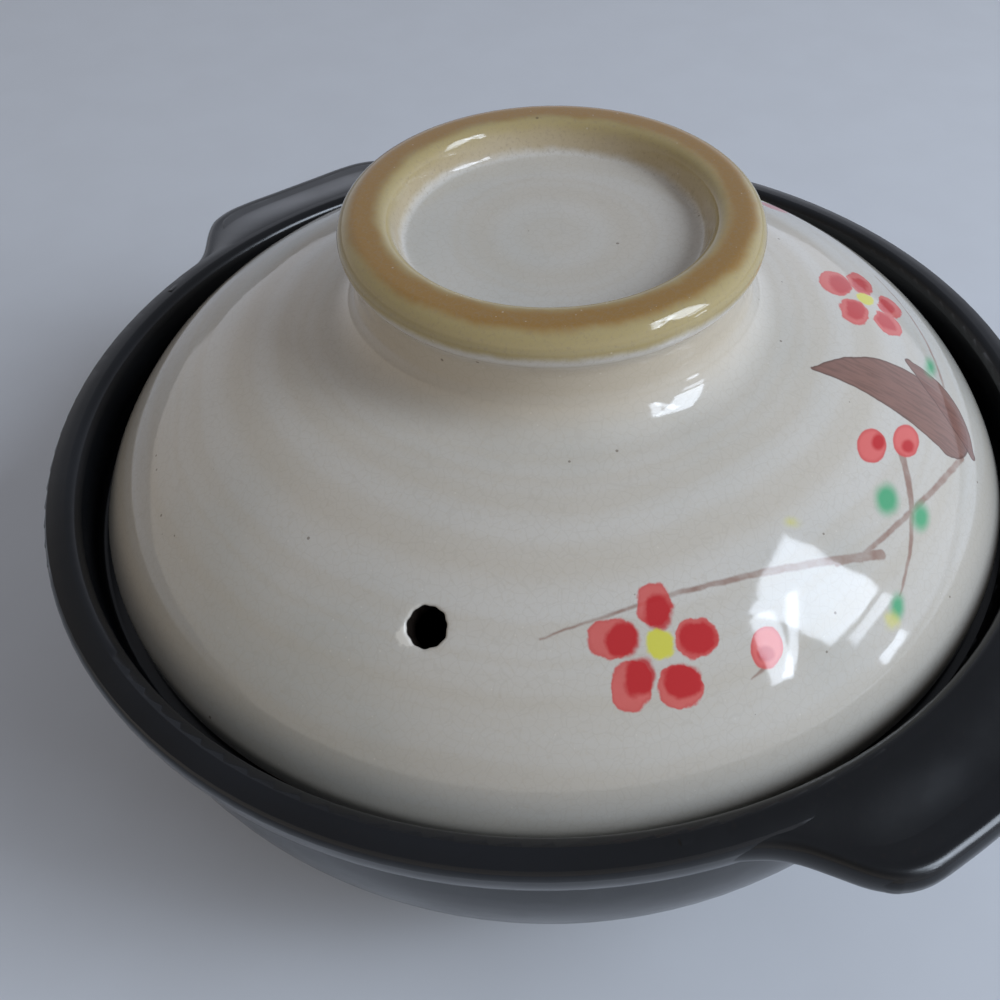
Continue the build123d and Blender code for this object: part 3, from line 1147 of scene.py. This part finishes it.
@dataclass
class Lid:
    """The domed lid with its ring knob, turned as one shell and pierced by a steam hole.

    Lengths are in metres and angles in degrees. The radius of the lip and its foot come from the frame.
    """

    wall: float = 0.0058
    foot_outer_round: float = 0.0015
    foot_inner_round: float = 0.0012
    lip_height: float = 0.0038
    lip_roll: float = 0.0040
    lip_sweep: float = 26.0
    shoulder_radius: float = 0.045
    shoulder_sweep: float = 30.0
    crown_radius: float = 0.089
    inner_cone_slope: float = 18.0
    inner_cap_radius: float = 0.052
    waist_radius: float = 0.0334
    cove_radius: float = 0.0078
    ring_overhang: float = 0.0023
    flare_height: float = 0.0060
    ring_round: float = 0.0036
    ring_flat: float = 0.0029
    ring_inner_round: float = 0.0026
    ring_inner_slope: float = 72.0
    recess_depth: float = 0.0056
    recess_dish: float = 0.0005
    recess_round: float = 0.0016
    hole_radius: float = 0.0031
    hole_round: float = 0.0005
    hole_climb: float = 0.0047
    hole_azimuth: float = -54.5
    hole_edge: tuple[Swell, ...] = (Swell(0.022, 2, 0.6), Swell(0.018, 5, 2.0), Swell(0.022, 11))
    chip_offset: tuple[float, float, float] = (-0.0010, -0.0027, -0.0009)
    ripples: tuple[Ripple, ...] = (
        Ripple(0.5, 0.0113, 1.0, 0.0),
        Ripple(0.35, 0.0071, -1.4, 1.3),
        Ripple(0.25, 0.0190, 2.0, 0.4),
    )
    ripple_drift: tuple[Swell, ...] = (Swell(0.6, 1, 0.7), Swell(0.4, 2))
    ripple_height: float = 0.026 * MM
    ripples_from: float = 0.012
    ripples_rise: float = 0.010
    ripples_end: float = 0.008
    ripples_fall: float = 0.012
    dome_swells: tuple[Swell, ...] = (Swell(0.10, 2, 0.8), Swell(0.08, 3, 2.1))
    dome_sink: float = 0.18
    dome_swell_height: float = 0.5 * MM
    dome_swell_rise: float = 0.03
    lip_rise: float = 0.006
    off_map: tuple[float, float] = (3.0, 3.0)
    off_outline: float = 1.0
    rows: LidRows = LidRows()
    columns: int = 384
    window_cells: int = 8
    closing_shares: tuple[float, ...] = (0.3, 0.6, 0.85)
    mouth_rows: int = 5
    bore_rows: int = 6
    bore_from_share: float = 0.16
    foot_level: float = field(init=False)
    radius: float = field(init=False)
    ring_level: float = field(init=False)
    shoulder_slope: float = field(init=False)
    shoulder_centre: tuple[float, float] = field(init=False)
    crown_centre: tuple[float, float] = field(init=False)
    crown_end_slope: float = field(init=False)
    crown_steps: int = field(init=False)
    crown_row: int = field(init=False)
    inner_crown_row: int = field(init=False)
    outside: np.ndarray = field(init=False)
    outside_way: np.ndarray = field(init=False)
    outside_along: np.ndarray = field(init=False)
    inside: np.ndarray = field(init=False)
    lip_along: float = field(init=False)
    marks: dict[Landmark, float] = field(init=False)
    hole_slope: float = field(init=False)
    hole_mouth: tuple[float, ...] = field(init=False)
    hole_way: tuple[float, float, float] = field(init=False)
    chip_middle: tuple[float, ...] = field(init=False)

    def __post_init__(self) -> None:
        """Take the lip's radius and level from the frame, and work out the dome, outlines and hole."""
        low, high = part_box("lid")
        self.foot_level, self.ring_level = low.z, high.z
        self.radius = (high.x - low.x) / 2
        self.shoulder_slope = 90 - self.lip_sweep - self.shoulder_sweep
        sweep, slope = radians(self.lip_sweep), radians(self.shoulder_slope)
        lip_end_r = self.radius - self.lip_roll * (1 - cos(sweep))
        lip_end_z = self.foot_level + self.lip_height + self.lip_roll * sin(sweep)
        self.shoulder_centre = (
            lip_end_r - self.shoulder_radius * cos(sweep),
            lip_end_z - self.shoulder_radius * sin(sweep),
        )
        rise = self.crown_radius - self.shoulder_radius
        self.crown_centre = (
            self.shoulder_centre[0] - rise * sin(slope),
            self.shoulder_centre[1] - rise * cos(slope),
        )
        cove_r = self.waist_radius + self.cove_radius - self.crown_centre[0]
        self.crown_end_slope = degrees(asin(cove_r / (self.crown_radius + self.cove_radius)))
        self.crown_steps = round((self.shoulder_slope - self.crown_end_slope) * self.rows.crown_per_degree)
        self._draw_outside()
        self._draw_inside()
        self.hole_slope = self.shoulder_slope - degrees(self.hole_climb / self.crown_radius)
        slope, azimuth = radians(self.hole_slope), radians(self.hole_azimuth)
        mouth = self.dome_point(np.array(slope), np.array(azimuth), np.array(0.0))
        self.hole_mouth = tuple(mouth.tolist())
        self.hole_way = (sin(slope) * cos(azimuth), sin(slope) * sin(azimuth), cos(slope))
        self.chip_middle = tuple((mouth + np.array(self.chip_offset)).tolist())

    def _draw_outside(self) -> None:
        """Draw the outline from the outer edge of the foot up over the dome and the knob to the axis.

        The recess floor is a shallow dish: its depth falls with the square of the share of its radius.
        """
        rows, marks = self.rows, {}
        flare_turn = 2 * degrees(atan(self.ring_overhang / self.flare_height))
        flare_radius = self.flare_height / (2 * sin(radians(flare_turn)))
        pen = TurningPen(self.radius - self.foot_outer_round, self.foot_level, 0)
        pen.arc(self.foot_outer_round, 90, rows.foot_round)
        pen.straight(self.lip_height - self.foot_outer_round, rows.lip)
        pen.arc(self.lip_roll, self.lip_sweep, rows.lip_roll)
        pen.arc(self.shoulder_radius, self.shoulder_sweep, rows.shoulder)
        self.crown_row = pen.row
        pen.arc(self.crown_radius, self.shoulder_slope - self.crown_end_slope, self.crown_steps)
        pen.arc(self.cove_radius, self.crown_end_slope - 90, rows.cove)
        pen.straight(self.ring_level - self.ring_round - self.flare_height - pen.at[1], rows.neck)
        pen.arc(flare_radius, -flare_turn, rows.flare)
        pen.arc(flare_radius, flare_turn, rows.flare)
        marks[Landmark.RING_SIDE] = pen.row
        pen.arc(self.ring_round, 90, rows.ring_round)
        marks[Landmark.RING_TOP] = pen.row
        pen.straight(self.ring_flat, rows.ring_flat)
        marks[Landmark.RING_INNER] = pen.row
        pen.arc(self.ring_inner_round, self.ring_inner_slope, rows.ring_inner_round)
        lean = radians(self.ring_inner_slope)
        wall = (self.recess_depth - self.ring_inner_round * (1 - cos(lean))) / sin(lean)
        floor_slope = 2 * degrees(atan(self.recess_dish / (pen.at[0] - wall * cos(lean))))
        bend = self.ring_inner_slope - floor_slope
        pen.straight(wall - self.recess_round * tan(radians(bend) / 2), rows.recess_wall)
        pen.arc(self.recess_round, -bend, rows.recess_round)
        marks[Landmark.RECESS] = pen.row
        edge_r, edge_z = pen.at
        share = np.linspace(1, 0, rows.recess_floor + 1)[1:, None]
        floor = np.concatenate([edge_r * share, edge_z - self.recess_dish * (1 - share**2)], -1)
        fall = 2 * self.recess_dish / edge_r * share[:, 0]
        points, outward = pen.outline()
        self.outside = np.concatenate([points, floor])
        self.outside_way = np.concatenate([outward, np.stack([-np.sin(fall), np.cos(fall)], -1)])
        steps = np.hypot(*np.diff(self.outside, axis=0).T)
        self.outside_along = np.concatenate([np.cumsum(steps[::-1])[::-1], [0.0]])
        self.lip_along = float(self.outside_along[0])
        self.marks = {mark: float(self.outside_along[row]) for mark, row in marks.items()}

    def _draw_inside(self) -> None:
        """Draw the outline from the axis out under cap, cone, crown and shoulder to the foot."""
        rows = self.rows
        inner_crown = self.crown_radius - self.wall
        inner_shoulder = self.shoulder_radius - self.wall
        slope = radians(self.inner_cone_slope)
        cone_r = self.crown_centre[0] + inner_crown * sin(slope)
        cone_z = self.crown_centre[1] + inner_crown * cos(slope)
        cone = (cone_r - self.inner_cap_radius * sin(slope)) / cos(slope)
        cap_z = cone_z + cone * sin(slope) + self.inner_cap_radius * (1 - cos(slope))
        reach = self.foot_level - self.shoulder_centre[1] + self.foot_inner_round
        end = degrees(acos(reach / (inner_shoulder + self.foot_inner_round)))
        crown_turn = self.shoulder_slope - self.inner_cone_slope
        crown_share = crown_turn / (self.shoulder_slope - self.crown_end_slope)
        pen = TurningPen(0.0, cap_z, 0)
        pen.arc(self.inner_cap_radius, -self.inner_cone_slope, rows.inner_cap)
        pen.straight(cone, rows.inner_cone)
        pen.arc(inner_crown, -crown_turn, round(crown_share * self.crown_steps))
        self.inner_crown_row = pen.row
        pen.arc(inner_shoulder, self.shoulder_slope - end, round(end - self.shoulder_slope))
        pen.arc(self.foot_inner_round, end, rows.inner_foot_round)
        pen.straight(self.radius - self.foot_outer_round - pen.at[0], rows.underside)
        self.inside = pen.outline()[0]

    def throwing(self, along: np.ndarray, azimuth: np.ndarray) -> np.ndarray:
        """Height of the throwing rings and of the dome's slow unevenness.

        The rings are three sine waves along the outline whose phase drifts round the lid, faded out
        on the knob and at the lip. The unevenness is two sine waves round the lid.

        Args:
            along: Distance along the outline from the knob's middle.
            azimuth: Direction round the axis, in radians.

        Returns:
            Height out of the clay, in metres.
        """
        drift = swelling(self.ripple_drift, azimuth)
        rings = sum(
            wave.share * np.sin(2 * pi * along / wave.pitch + wave.drift * drift + wave.phase)
            for wave in self.ripples
        )
        start = self.marks[Landmark.RING_SIDE] + self.ripples_from
        dome = np.clip((along - start) / self.ripples_rise, 0, 1)
        lip = np.clip((self.lip_along - self.ripples_end - along) / self.ripples_fall, 0, 1)
        slow = swelling(self.dome_swells, azimuth) - self.dome_sink
        slow = slow * np.clip(along / self.dome_swell_rise, 0, 1)
        return self.ripple_height * rings * dome * lip + self.dome_swell_height * slow

    def dome_along(self, slope: np.ndarray) -> np.ndarray:
        """Distance along the outline at a slope of the crown or the shoulder.

        Args:
            slope: Slope of the outside from the horizontal, in radians.

        Returns:
            The distance from the knob's middle.
        """
        turn = radians(self.shoulder_slope)
        radius = np.where(slope > turn, self.shoulder_radius, self.crown_radius)
        return self.outside_along[self.crown_row] + (slope - turn) * radius

    def dome_point(self, slope: np.ndarray, azimuth: np.ndarray, depth: np.ndarray) -> np.ndarray:
        """Point of the dome's wall: its own centre, plus the radius less the depth, at its slope.

        Args:
            slope: Slope of the outside at the point, from the horizontal, in radians.
            azimuth: Direction round the axis, in radians.
            depth: Distance below the outside.

        Returns:
            Positions, with x, y and z last.
        """
        on_shoulder = slope > radians(self.shoulder_slope)
        centre_r = np.where(on_shoulder, self.shoulder_centre[0], self.crown_centre[0])
        centre_z = np.where(on_shoulder, self.shoulder_centre[1], self.crown_centre[1])
        lift = self.throwing(self.dome_along(slope), azimuth) * (1 - depth / self.wall)
        radius = np.where(on_shoulder, self.shoulder_radius, self.crown_radius) - depth + lift
        return about_axis(centre_r + radius * np.sin(slope), centre_z + radius * np.cos(slope), azimuth)

    def flat_map(self, along: np.ndarray, azimuth: np.ndarray) -> np.ndarray:
        """Place on the glaze map: a way from the map's middle, in the point's own direction.

        That way is the radius at the crown's upper end, and from there it grows or shrinks as the
        distance along the outline does, down to 0.

        Args:
            along: Distance along the outline from the knob's middle.
            azimuth: Direction round the axis, in radians.

        Returns:
            Places, with u and v last.
        """
        end = self.crown_row + self.crown_steps
        reach = np.maximum(along - self.outside_along[end] + self.outside[end, 0], 0.0)
        return np.stack([reach * np.cos(azimuth), reach * np.sin(azimuth)], -1)

    def build(self) -> bpy.types.Object:
        """Turn the shell, pierce the steam hole and weld everything into one piece.

        Returns:
            The lid's object.
        """
        surface = ClaySurface()
        azimuth = radians(self.hole_azimuth) + pi + 2 * pi * np.arange(self.columns) / self.columns
        off_map = np.array(self.off_map)
        along = self.outside_along[:-1, None]
        lift = self.throwing(along, azimuth) * np.clip((self.lip_along - along) / self.lip_rise, 0, 1)
        r = self.outside[:-1, :1] + lift * self.outside_way[:-1, :1]
        z = self.outside[:-1, 1:] + lift * self.outside_way[:-1, 1:]
        outer = surface.add_points(about_axis(r, z, azimuth), self.flat_map(along, azimuth), along)
        turned = about_axis(self.inside[1:-1, :1], self.inside[1:-1, 1:], azimuth)
        inner = surface.add_points(turned, off_map, np.array(self.off_outline))
        ends = np.array([[0, 0, self.inside[0, 1]], [0, 0, self.outside[-1, 1]]])
        poles = surface.add_points(ends, off_map, np.array([self.off_outline, 0.0]))
        whole = np.concatenate([inner, outer])
        steps = round((self.shoulder_slope - self.hole_slope) * self.crown_steps
                      / (self.shoulder_slope - self.crown_end_slope))
        windows = (
            self._window(whole, len(inner) + self.crown_row + steps),
            self._window(whole, self.inner_crown_row - steps - 1),
        )
        keep = np.ones((len(whole) - 1, self.columns), bool)
        for rows, columns, _ in windows:
            keep[rows, columns] = False
        surface.add_grid(whole, keep)
        surface.add_fan(whole[0], poles[0], flip=True)
        surface.add_fan(whole[-1], poles[1], flip=False)
        self._pierce(surface, windows[0][2], windows[1][2])
        return surface.build("lid_shell")

    def dress(self, shell: bpy.types.Object) -> None:
        """Glaze the shell, and let it ride on the lid's body in place of the lid's node.

        Args:
            shell: The lid's object.
        """
        cover(shell, CreamGlaze().make(self))
        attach(shell, Body.LID.value)
        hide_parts("lid")

    def _window(self, whole: np.ndarray, row: int) -> tuple[slice, slice, np.ndarray]:
        """The square window that the hole needs in the grid.

        Args:
            whole: Point numbers of the whole grid.
            row: Row of the hole's middle.

        Returns:
            The window's rows of cells, its columns, and the point numbers round its edge.
        """
        top, low = row - self.window_cells, row + self.window_cells
        left, right = self.columns // 2 - self.window_cells, self.columns // 2 + self.window_cells
        edge = [
            whole[top, left:right], whole[top:low, right],
            whole[low, right:left:-1], whole[low:top:-1, left],
        ]
        return slice(top, low), slice(left, right), np.concatenate(edge)

    def _pierce(self, surface: ClaySurface, outer_ring: np.ndarray, inner_ring: np.ndarray) -> None:
        """Join the window outside to the one inside by rings that close in to the hole and run through it.

        Each ring lies on a circle about the hole's own line: its distance from that line and its depth
        under the outside are worked out step by step, and the first rings ease from the square window
        to the circle. Each point inside is joined to the one that lies nearest to it outside.

        Args:
            surface: The surface that gathers the mesh.
            outer_ring: Point numbers round the window outside.
            inner_ring: Point numbers round the window inside.
        """
        points = np.concatenate(surface.points)
        square = points[outer_ring]
        gap = np.linalg.norm(square[:, None] - points[inner_ring][None], axis=-1)
        inner_ring = inner_ring[np.argmin(gap, axis=1)]
        slope0, azimuth0 = radians(self.hole_slope), radians(self.hole_azimuth)
        r = np.hypot(square[:, 0], square[:, 1])
        slope = np.arctan2(r - self.crown_centre[0], square[:, 2] - self.crown_centre[1])
        shoulder = np.arctan2(r - self.shoulder_centre[0], square[:, 2] - self.shoulder_centre[1])
        slope = np.where(slope > radians(self.shoulder_slope), shoulder, slope)
        azimuth = np.arctan2(square[:, 1], square[:, 0])
        mouth_r = self.crown_centre[0] + self.crown_radius * sin(slope0)
        flat = np.stack([
            (slope - slope0) * self.crown_radius,
            ((azimuth - azimuth0 + pi) % (2 * pi) - pi) * mouth_r,
        ])
        angle = np.arctan2(flat[1], flat[0])
        circle = np.stack([np.cos(angle), np.sin(angle)])
        bore = self.hole_radius * (1 + swelling(self.hole_edge, angle))
        wide = circle * (bore + self.hole_round)
        rings = [(1 - share) * flat + share * wide for share in self.closing_shares]
        depths = [0.0] * len(rings)
        bends = np.radians(np.linspace(0, 90, self.mouth_rows))
        mouth = list(zip(self.hole_round * (1 - np.sin(bends)), self.hole_round * (1 - np.cos(bends))))
        shares = np.linspace(self.bore_from_share, 1 - self.bore_from_share, self.bore_rows)
        way = mouth + [(0.0, self.wall * share) for share in shares]
        way += [(wider, self.wall - depth) for wider, depth in reversed(mouth)]
        for wider, depth in way:
            rings.append(circle * (bore + wider))
            depths.append(depth)
        offsets, depth = np.array(rings), np.array(depths)[:, None]
        shrink = (self.crown_radius - depth) / self.crown_radius
        ring_slope = slope0 + offsets[:, 0] / (self.crown_radius * shrink)
        ring_azimuth = azimuth0 + offsets[:, 1] / (mouth_r * shrink)
        ring_along = self.dome_along(ring_slope)
        placed = self.dome_point(ring_slope, ring_azimuth, depth)
        number = surface.add_points(placed, self.flat_map(ring_along, ring_azimuth), ring_along)
        surface.add_grid(np.concatenate([outer_ring[None], number, inner_ring[None]]))


# Pot


@dataclass
class Pot:
    """The bowl with its rim, ledge, foot and two lugs, as it is packed."""

    glaze_line: float = 0.0040

    def build(self) -> bpy.types.Object:
        """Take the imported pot."""
        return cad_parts["pot"]

    def dress(self, bowl: bpy.types.Object) -> bpy.types.Material:
        """Glaze the bowl.

        Args:
            bowl: The pot's object.

        Returns:
            The glaze, for the lugs' skins.
        """
        glaze = BlackGlaze().make(self.glaze_line)
        cover(bowl, glaze)
        return glaze


@dataclass(frozen=True)
class Lug:
    """The outer skin of one pressed lug, drawn out of the rim without a step and rounded at its edge.

    The reach gives, from the lug's middle to either side, the direction in degrees and the distance of
    the edge from the pot's axis in millimetres. The skin's ends and its back lie inside the pot's wall.
    """

    name: str
    side: float
    reach: tuple[tuple[float, float], ...]
    root_radius: float = 0.0914
    root_level: float = 0.07414
    back_radius: float = 0.0905
    top_level: float = 0.07326
    top_from: float = 0.0905
    droop: float = 6.0
    thickness: float = 0.0062
    edge_depth: float = 0.0028
    depth_share: float = 0.8
    edge_power: float = 0.85
    top_rows: int = 22
    edge_rows: int = 19
    back_rows: int = 8
    columns: int = 241
    evening: int = 15

    def build(self) -> bpy.types.Object:
        """Make the skin as a closed loop of points in every direction that the lug spans.

        From the root on the rim's top, the height eases along an S to the drooping edge. The edge is
        a half superellipse, and the underside runs back into the wall.

        Returns:
            The skin's object.
        """
        azimuth, edge = self._edge()
        depth = np.minimum(self.edge_depth, self.depth_share * (edge - self.root_radius))
        brink = edge - depth
        top = self.top_level - (brink * np.cos(azimuth) - self.top_from) * tan(radians(self.droop))
        share = np.linspace(0, 1, self.top_rows)
        top_r = self.root_radius + (brink - self.root_radius) * share
        top_z = self.root_level - (self.root_level - top) * share**2 * (3 - 2 * share)
        turn = np.radians(np.linspace(90, -90, self.edge_rows))[1:-1]
        bulge = np.abs(np.cos(turn)) ** self.edge_power
        rise = np.sign(np.sin(turn)) * np.abs(np.sin(turn)) ** self.edge_power
        back = np.linspace(0, 1, self.back_rows)
        r = np.concatenate([top_r, brink + depth * bulge, brink + (self.back_radius - brink) * back], axis=1)
        round_z = top - self.thickness / 2 * (1 - rise)
        z = np.concatenate([top_z, round_z, (top - self.thickness) + 0 * back], axis=1)
        points = about_axis(self.side * r, z, azimuth)
        surface = ClaySurface()
        number = surface.add_points(points, np.zeros(2), np.array(0.0))
        surface.add_grid(number)
        poles = surface.add_points(points[[0, -1]].mean(axis=1), np.zeros(2), np.array(0.0))
        surface.add_fan(number[0], poles[0], flip=True)
        surface.add_fan(number[-1], poles[1], flip=False)
        return surface.build(self.name)

    def dress(self, skin: bpy.types.Object, glaze: bpy.types.Material) -> None:
        """Glaze the skin as the pot, and let it ride on the pot's body.

        Args:
            skin: The skin's object.
            glaze: The pot's glaze.
        """
        cover(skin, glaze)
        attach(skin, Body.POT.value)

    def _edge(self) -> tuple[np.ndarray, np.ndarray]:
        """The edge's distance, between the given ones by straight lines, evened out by a Hann window.

        Returns:
            Directions over the lug, in radians, and the edge's distance in each.
        """
        half = np.array(self.reach)
        azimuth = np.linspace(-half[-1, 0], half[-1, 0], self.columns)
        edge = MM * np.interp(np.abs(azimuth), half[:, 0], half[:, 1])
        weight = np.hanning(self.evening + 2)[1:-1]
        edge = np.convolve(np.pad(edge, self.evening // 2, mode="edge"), weight / weight.sum(), mode="valid")
        return np.radians(azimuth)[:, None], edge[:, None]


FRONT_LUG = Lug(
    "lug_front",
    1.0,
    (
        (0.0, 108.80), (2.4, 108.66), (5.6, 108.54), (8.6, 108.60), (11.2, 107.60), (13.3, 105.10),
        (15.1, 101.80), (17.4, 98.20), (19.6, 96.20), (22.0, 95.15), (24.6, 94.50), (27.5, 93.60),
    ),
)
BACK_LUG = Lug(
    "lug_back",
    -1.0,
    (
        (0.0, 108.66), (3.0, 108.78), (6.6, 109.50), (9.5, 109.70), (12.2, 108.20), (14.4, 104.70),
        (16.4, 101.10), (18.4, 97.90), (20.4, 96.10), (22.8, 95.10), (25.4, 94.50), (28.2, 93.60),
    ),
)


# Studio


@dataclass(frozen=True)
class Camera:
    """The camera, at the place from which the pot is seen. Its angles are in degrees."""

    place: tuple[float, float, float] = (0.12424, -0.09328, 0.21393)
    azimuth: float = 50.0
    pitch: float = 47.26
    roll: float = 0.7334
    lens: float = 38.357
    sensor: float = 36.0
    shift: tuple[float, float] = (-0.1, 0.00055)
    nearest: float = 0.01
    farthest: float = 50.0

    def set_up(self) -> None:
        """Place the camera and make it the scene's.

        The way ahead is the horizontal direction of the azimuth tipped down by the pitch. The sideways
        and upright axes are then turned about it by the roll.
        """
        turn, pitch, roll = radians(self.azimuth), radians(self.pitch), radians(self.roll)
        ahead = Vector((-sin(turn) * cos(pitch), cos(turn) * cos(pitch), -sin(pitch)))
        level = Vector((cos(turn), sin(turn), 0.0))
        upright = level.cross(ahead)
        side = level * cos(roll) + upright * sin(roll)
        top = upright * cos(roll) - level * sin(roll)
        data = bpy.data.cameras.new("view")
        data.lens = self.lens
        data.sensor_width = self.sensor
        data.sensor_fit = "HORIZONTAL"
        data.shift_x, data.shift_y = self.shift
        data.clip_start = self.nearest
        data.clip_end = self.farthest
        camera = bpy.data.objects.new("view", data)
        bpy.context.scene.collection.objects.link(camera)
        facing = Matrix((side, top, -ahead)).transposed().to_4x4()
        camera.matrix_world = Matrix.Translation(self.place) @ facing
        bpy.context.scene.camera = camera


@dataclass(frozen=True)
class Pane:
    """One pane of the window, a flat lamp."""

    name: str
    place: tuple[float, float, float]
    facing: tuple[float, float, float]
    along: tuple[float, float, float]
    width: float
    height: float
    brightness: float
    colour: tuple[float, float, float] = (0.80, 0.90, 1.04)

    def set_up(self) -> None:
        """Hang the pane: its light leaves along the facing, its width lies along the given way."""
        data = bpy.data.lights.new(self.name, "AREA")
        data.shape = "RECTANGLE"
        data.size = self.width
        data.size_y = self.height
        data.energy = self.brightness * pi * self.width * self.height
        data.color = self.colour
        lamp = bpy.data.objects.new(self.name, data)
        bpy.context.scene.collection.objects.link(lamp)
        back = -Vector(self.facing).normalized()
        side = Vector(self.along)
        side = (side - back * side.dot(back)).normalized()
        turn = Matrix((side, back.cross(side), back)).transposed().to_4x4()
        lamp.matrix_world = Matrix.Translation(self.place) @ turn


@dataclass(frozen=True)
class Studio:
    """A plain pale floor, a pale surround and a window of soft lamps."""

    floor_reach: float = 12.0
    floor_first_ring: float = 0.1
    floor_rings: int = 16
    floor_columns: int = 64
    floor_colour: Colour = clay_colour(214, 217, 222)
    floor_roughness: float = 0.75
    floor_grain: Cloud = Cloud(40.0, 4.0)
    floor_shade: Coat = Coat(clay_colour(186, 186, 188), Fade(0.3, 0.7, 0.0, 0.08))
    cool: Colour = (0.88, 0.93, 1.06, 1.0)
    warm: Colour = (0.70, 0.65, 0.60, 1.0)
    warm_way: tuple[float, float, float] = (-0.05, -1.0, 0.0)
    warming: Fade = Fade(-0.3, 0.7)
    dimming: Fade = Fade(0.0, 0.75, 0.86, 0.28)
    window: tuple[Pane, ...] = (
        Pane("pane_main", (0.825, 0.580, 0.817), (-0.592, -0.463, -0.659),
             (0.552, 0.363, -0.751), 0.62, 0.38, 10.4),
        Pane("pane_strip", (0.954, 0.396, 0.790), (-0.707, -0.325, -0.628),
             (0.027, 0.875, -0.484), 0.06, 0.60, 10.4),
        Pane("pane_corner", (0.981, 0.296, 0.803), (-0.738, -0.249, -0.627),
             (-0.097, 0.959, -0.266), 0.11, 0.58, 10.0),
        Pane("pane_right", (0.962, 0.715, 0.463), (-0.737, -0.591, -0.327),
             (0.25, 0.211, -0.945), 0.11, 0.29, 7.0),
        Pane("pane_edge", (1.023, 0.744, 0.137), (-0.787, -0.615, -0.055),
             (-0.047, 0.148, -0.988), 0.10, 0.17, 8.0),
    )

    def build(self) -> bpy.types.Object:
        """Lay the floor, light the surround and hang the window.

        Returns:
            The floor's object.
        """
        floor = self._lay_floor()
        self._light_surround()
        for pane in self.window:
            pane.set_up()
        bpy.context.scene.view_settings.view_transform = "Standard"
        return floor

    def _light_surround(self) -> None:
        """Light the room: brightest near the floor, dim overhead, warmer on one side."""
        world = bpy.data.worlds.new("surround")
        world.use_nodes = True
        bench = Bench(world.node_tree)
        shade = world.node_tree.nodes["Background"]
        way = bench.node("ShaderNodeTexCoord").outputs["Generated"]
        towards = bench.measure("DOT_PRODUCT", way, self.warm_way)
        bench.feed(shade.inputs["Color"], bench.coat(self.cool, towards, Coat(self.warm, self.warming)))
        bench.feed(shade.inputs["Strength"], bench.fade(bench.height(way), self.dimming))
        bpy.context.scene.world = world

    def _lay_floor(self) -> bpy.types.Object:
        """Make the floor: a flat round sheet, as rings of points about the pot.

        Returns:
            The floor's object.
        """
        reach = np.geomspace(self.floor_first_ring, self.floor_reach, self.floor_rings)[:, None]
        azimuth = np.linspace(0, 2 * pi, self.floor_columns, endpoint=False)
        surface = ClaySurface()
        number = surface.add_points(about_axis(reach, np.array(0.0), azimuth), np.zeros(2), np.array(0.0))
        pole = surface.add_points(np.zeros((1, 3)), np.zeros(2), np.array(0.0))
        surface.add_grid(number[::-1])
        surface.add_fan(number[0], pole[0], flip=False)
        floor = surface.build("floor")
        finish, bench, shader, where = new_finish("pale_floor")
        colour = bench.coat(self.floor_colour, bench.noise(where, self.floor_grain), self.floor_shade)
        bench.feed(shader.inputs["Base Color"], colour)
        bench.feed(shader.inputs["Roughness"], self.floor_roughness)
        cover(floor, finish)
        return floor


def main() -> None:
    """Build the lid, the pot and the studio in order, and say what was made."""
    logging.basicConfig(level=logging.INFO, format="%(name)s: %(message)s")
    Camera().set_up()

    lid = Lid()
    shell = lid.build()
    lid.dress(shell)
    log.info("%s: %d faces, steam hole's mouth at %s", shell.name, len(shell.data.polygons), lid.hole_mouth)

    pot = Pot()
    bowl = pot.build()
    glaze = pot.dress(bowl)
    log.info("%s: %d faces", bowl.name, len(bowl.data.polygons))

    for lug in (FRONT_LUG, BACK_LUG):
        skin = lug.build()
        lug.dress(skin, glaze)
        log.info("%s: %d faces", skin.name, len(skin.data.polygons))

    floor = Studio().build()
    log.info("%s: %d faces", floor.name, len(floor.data.polygons))


if __name__ == "__main__":
    main()
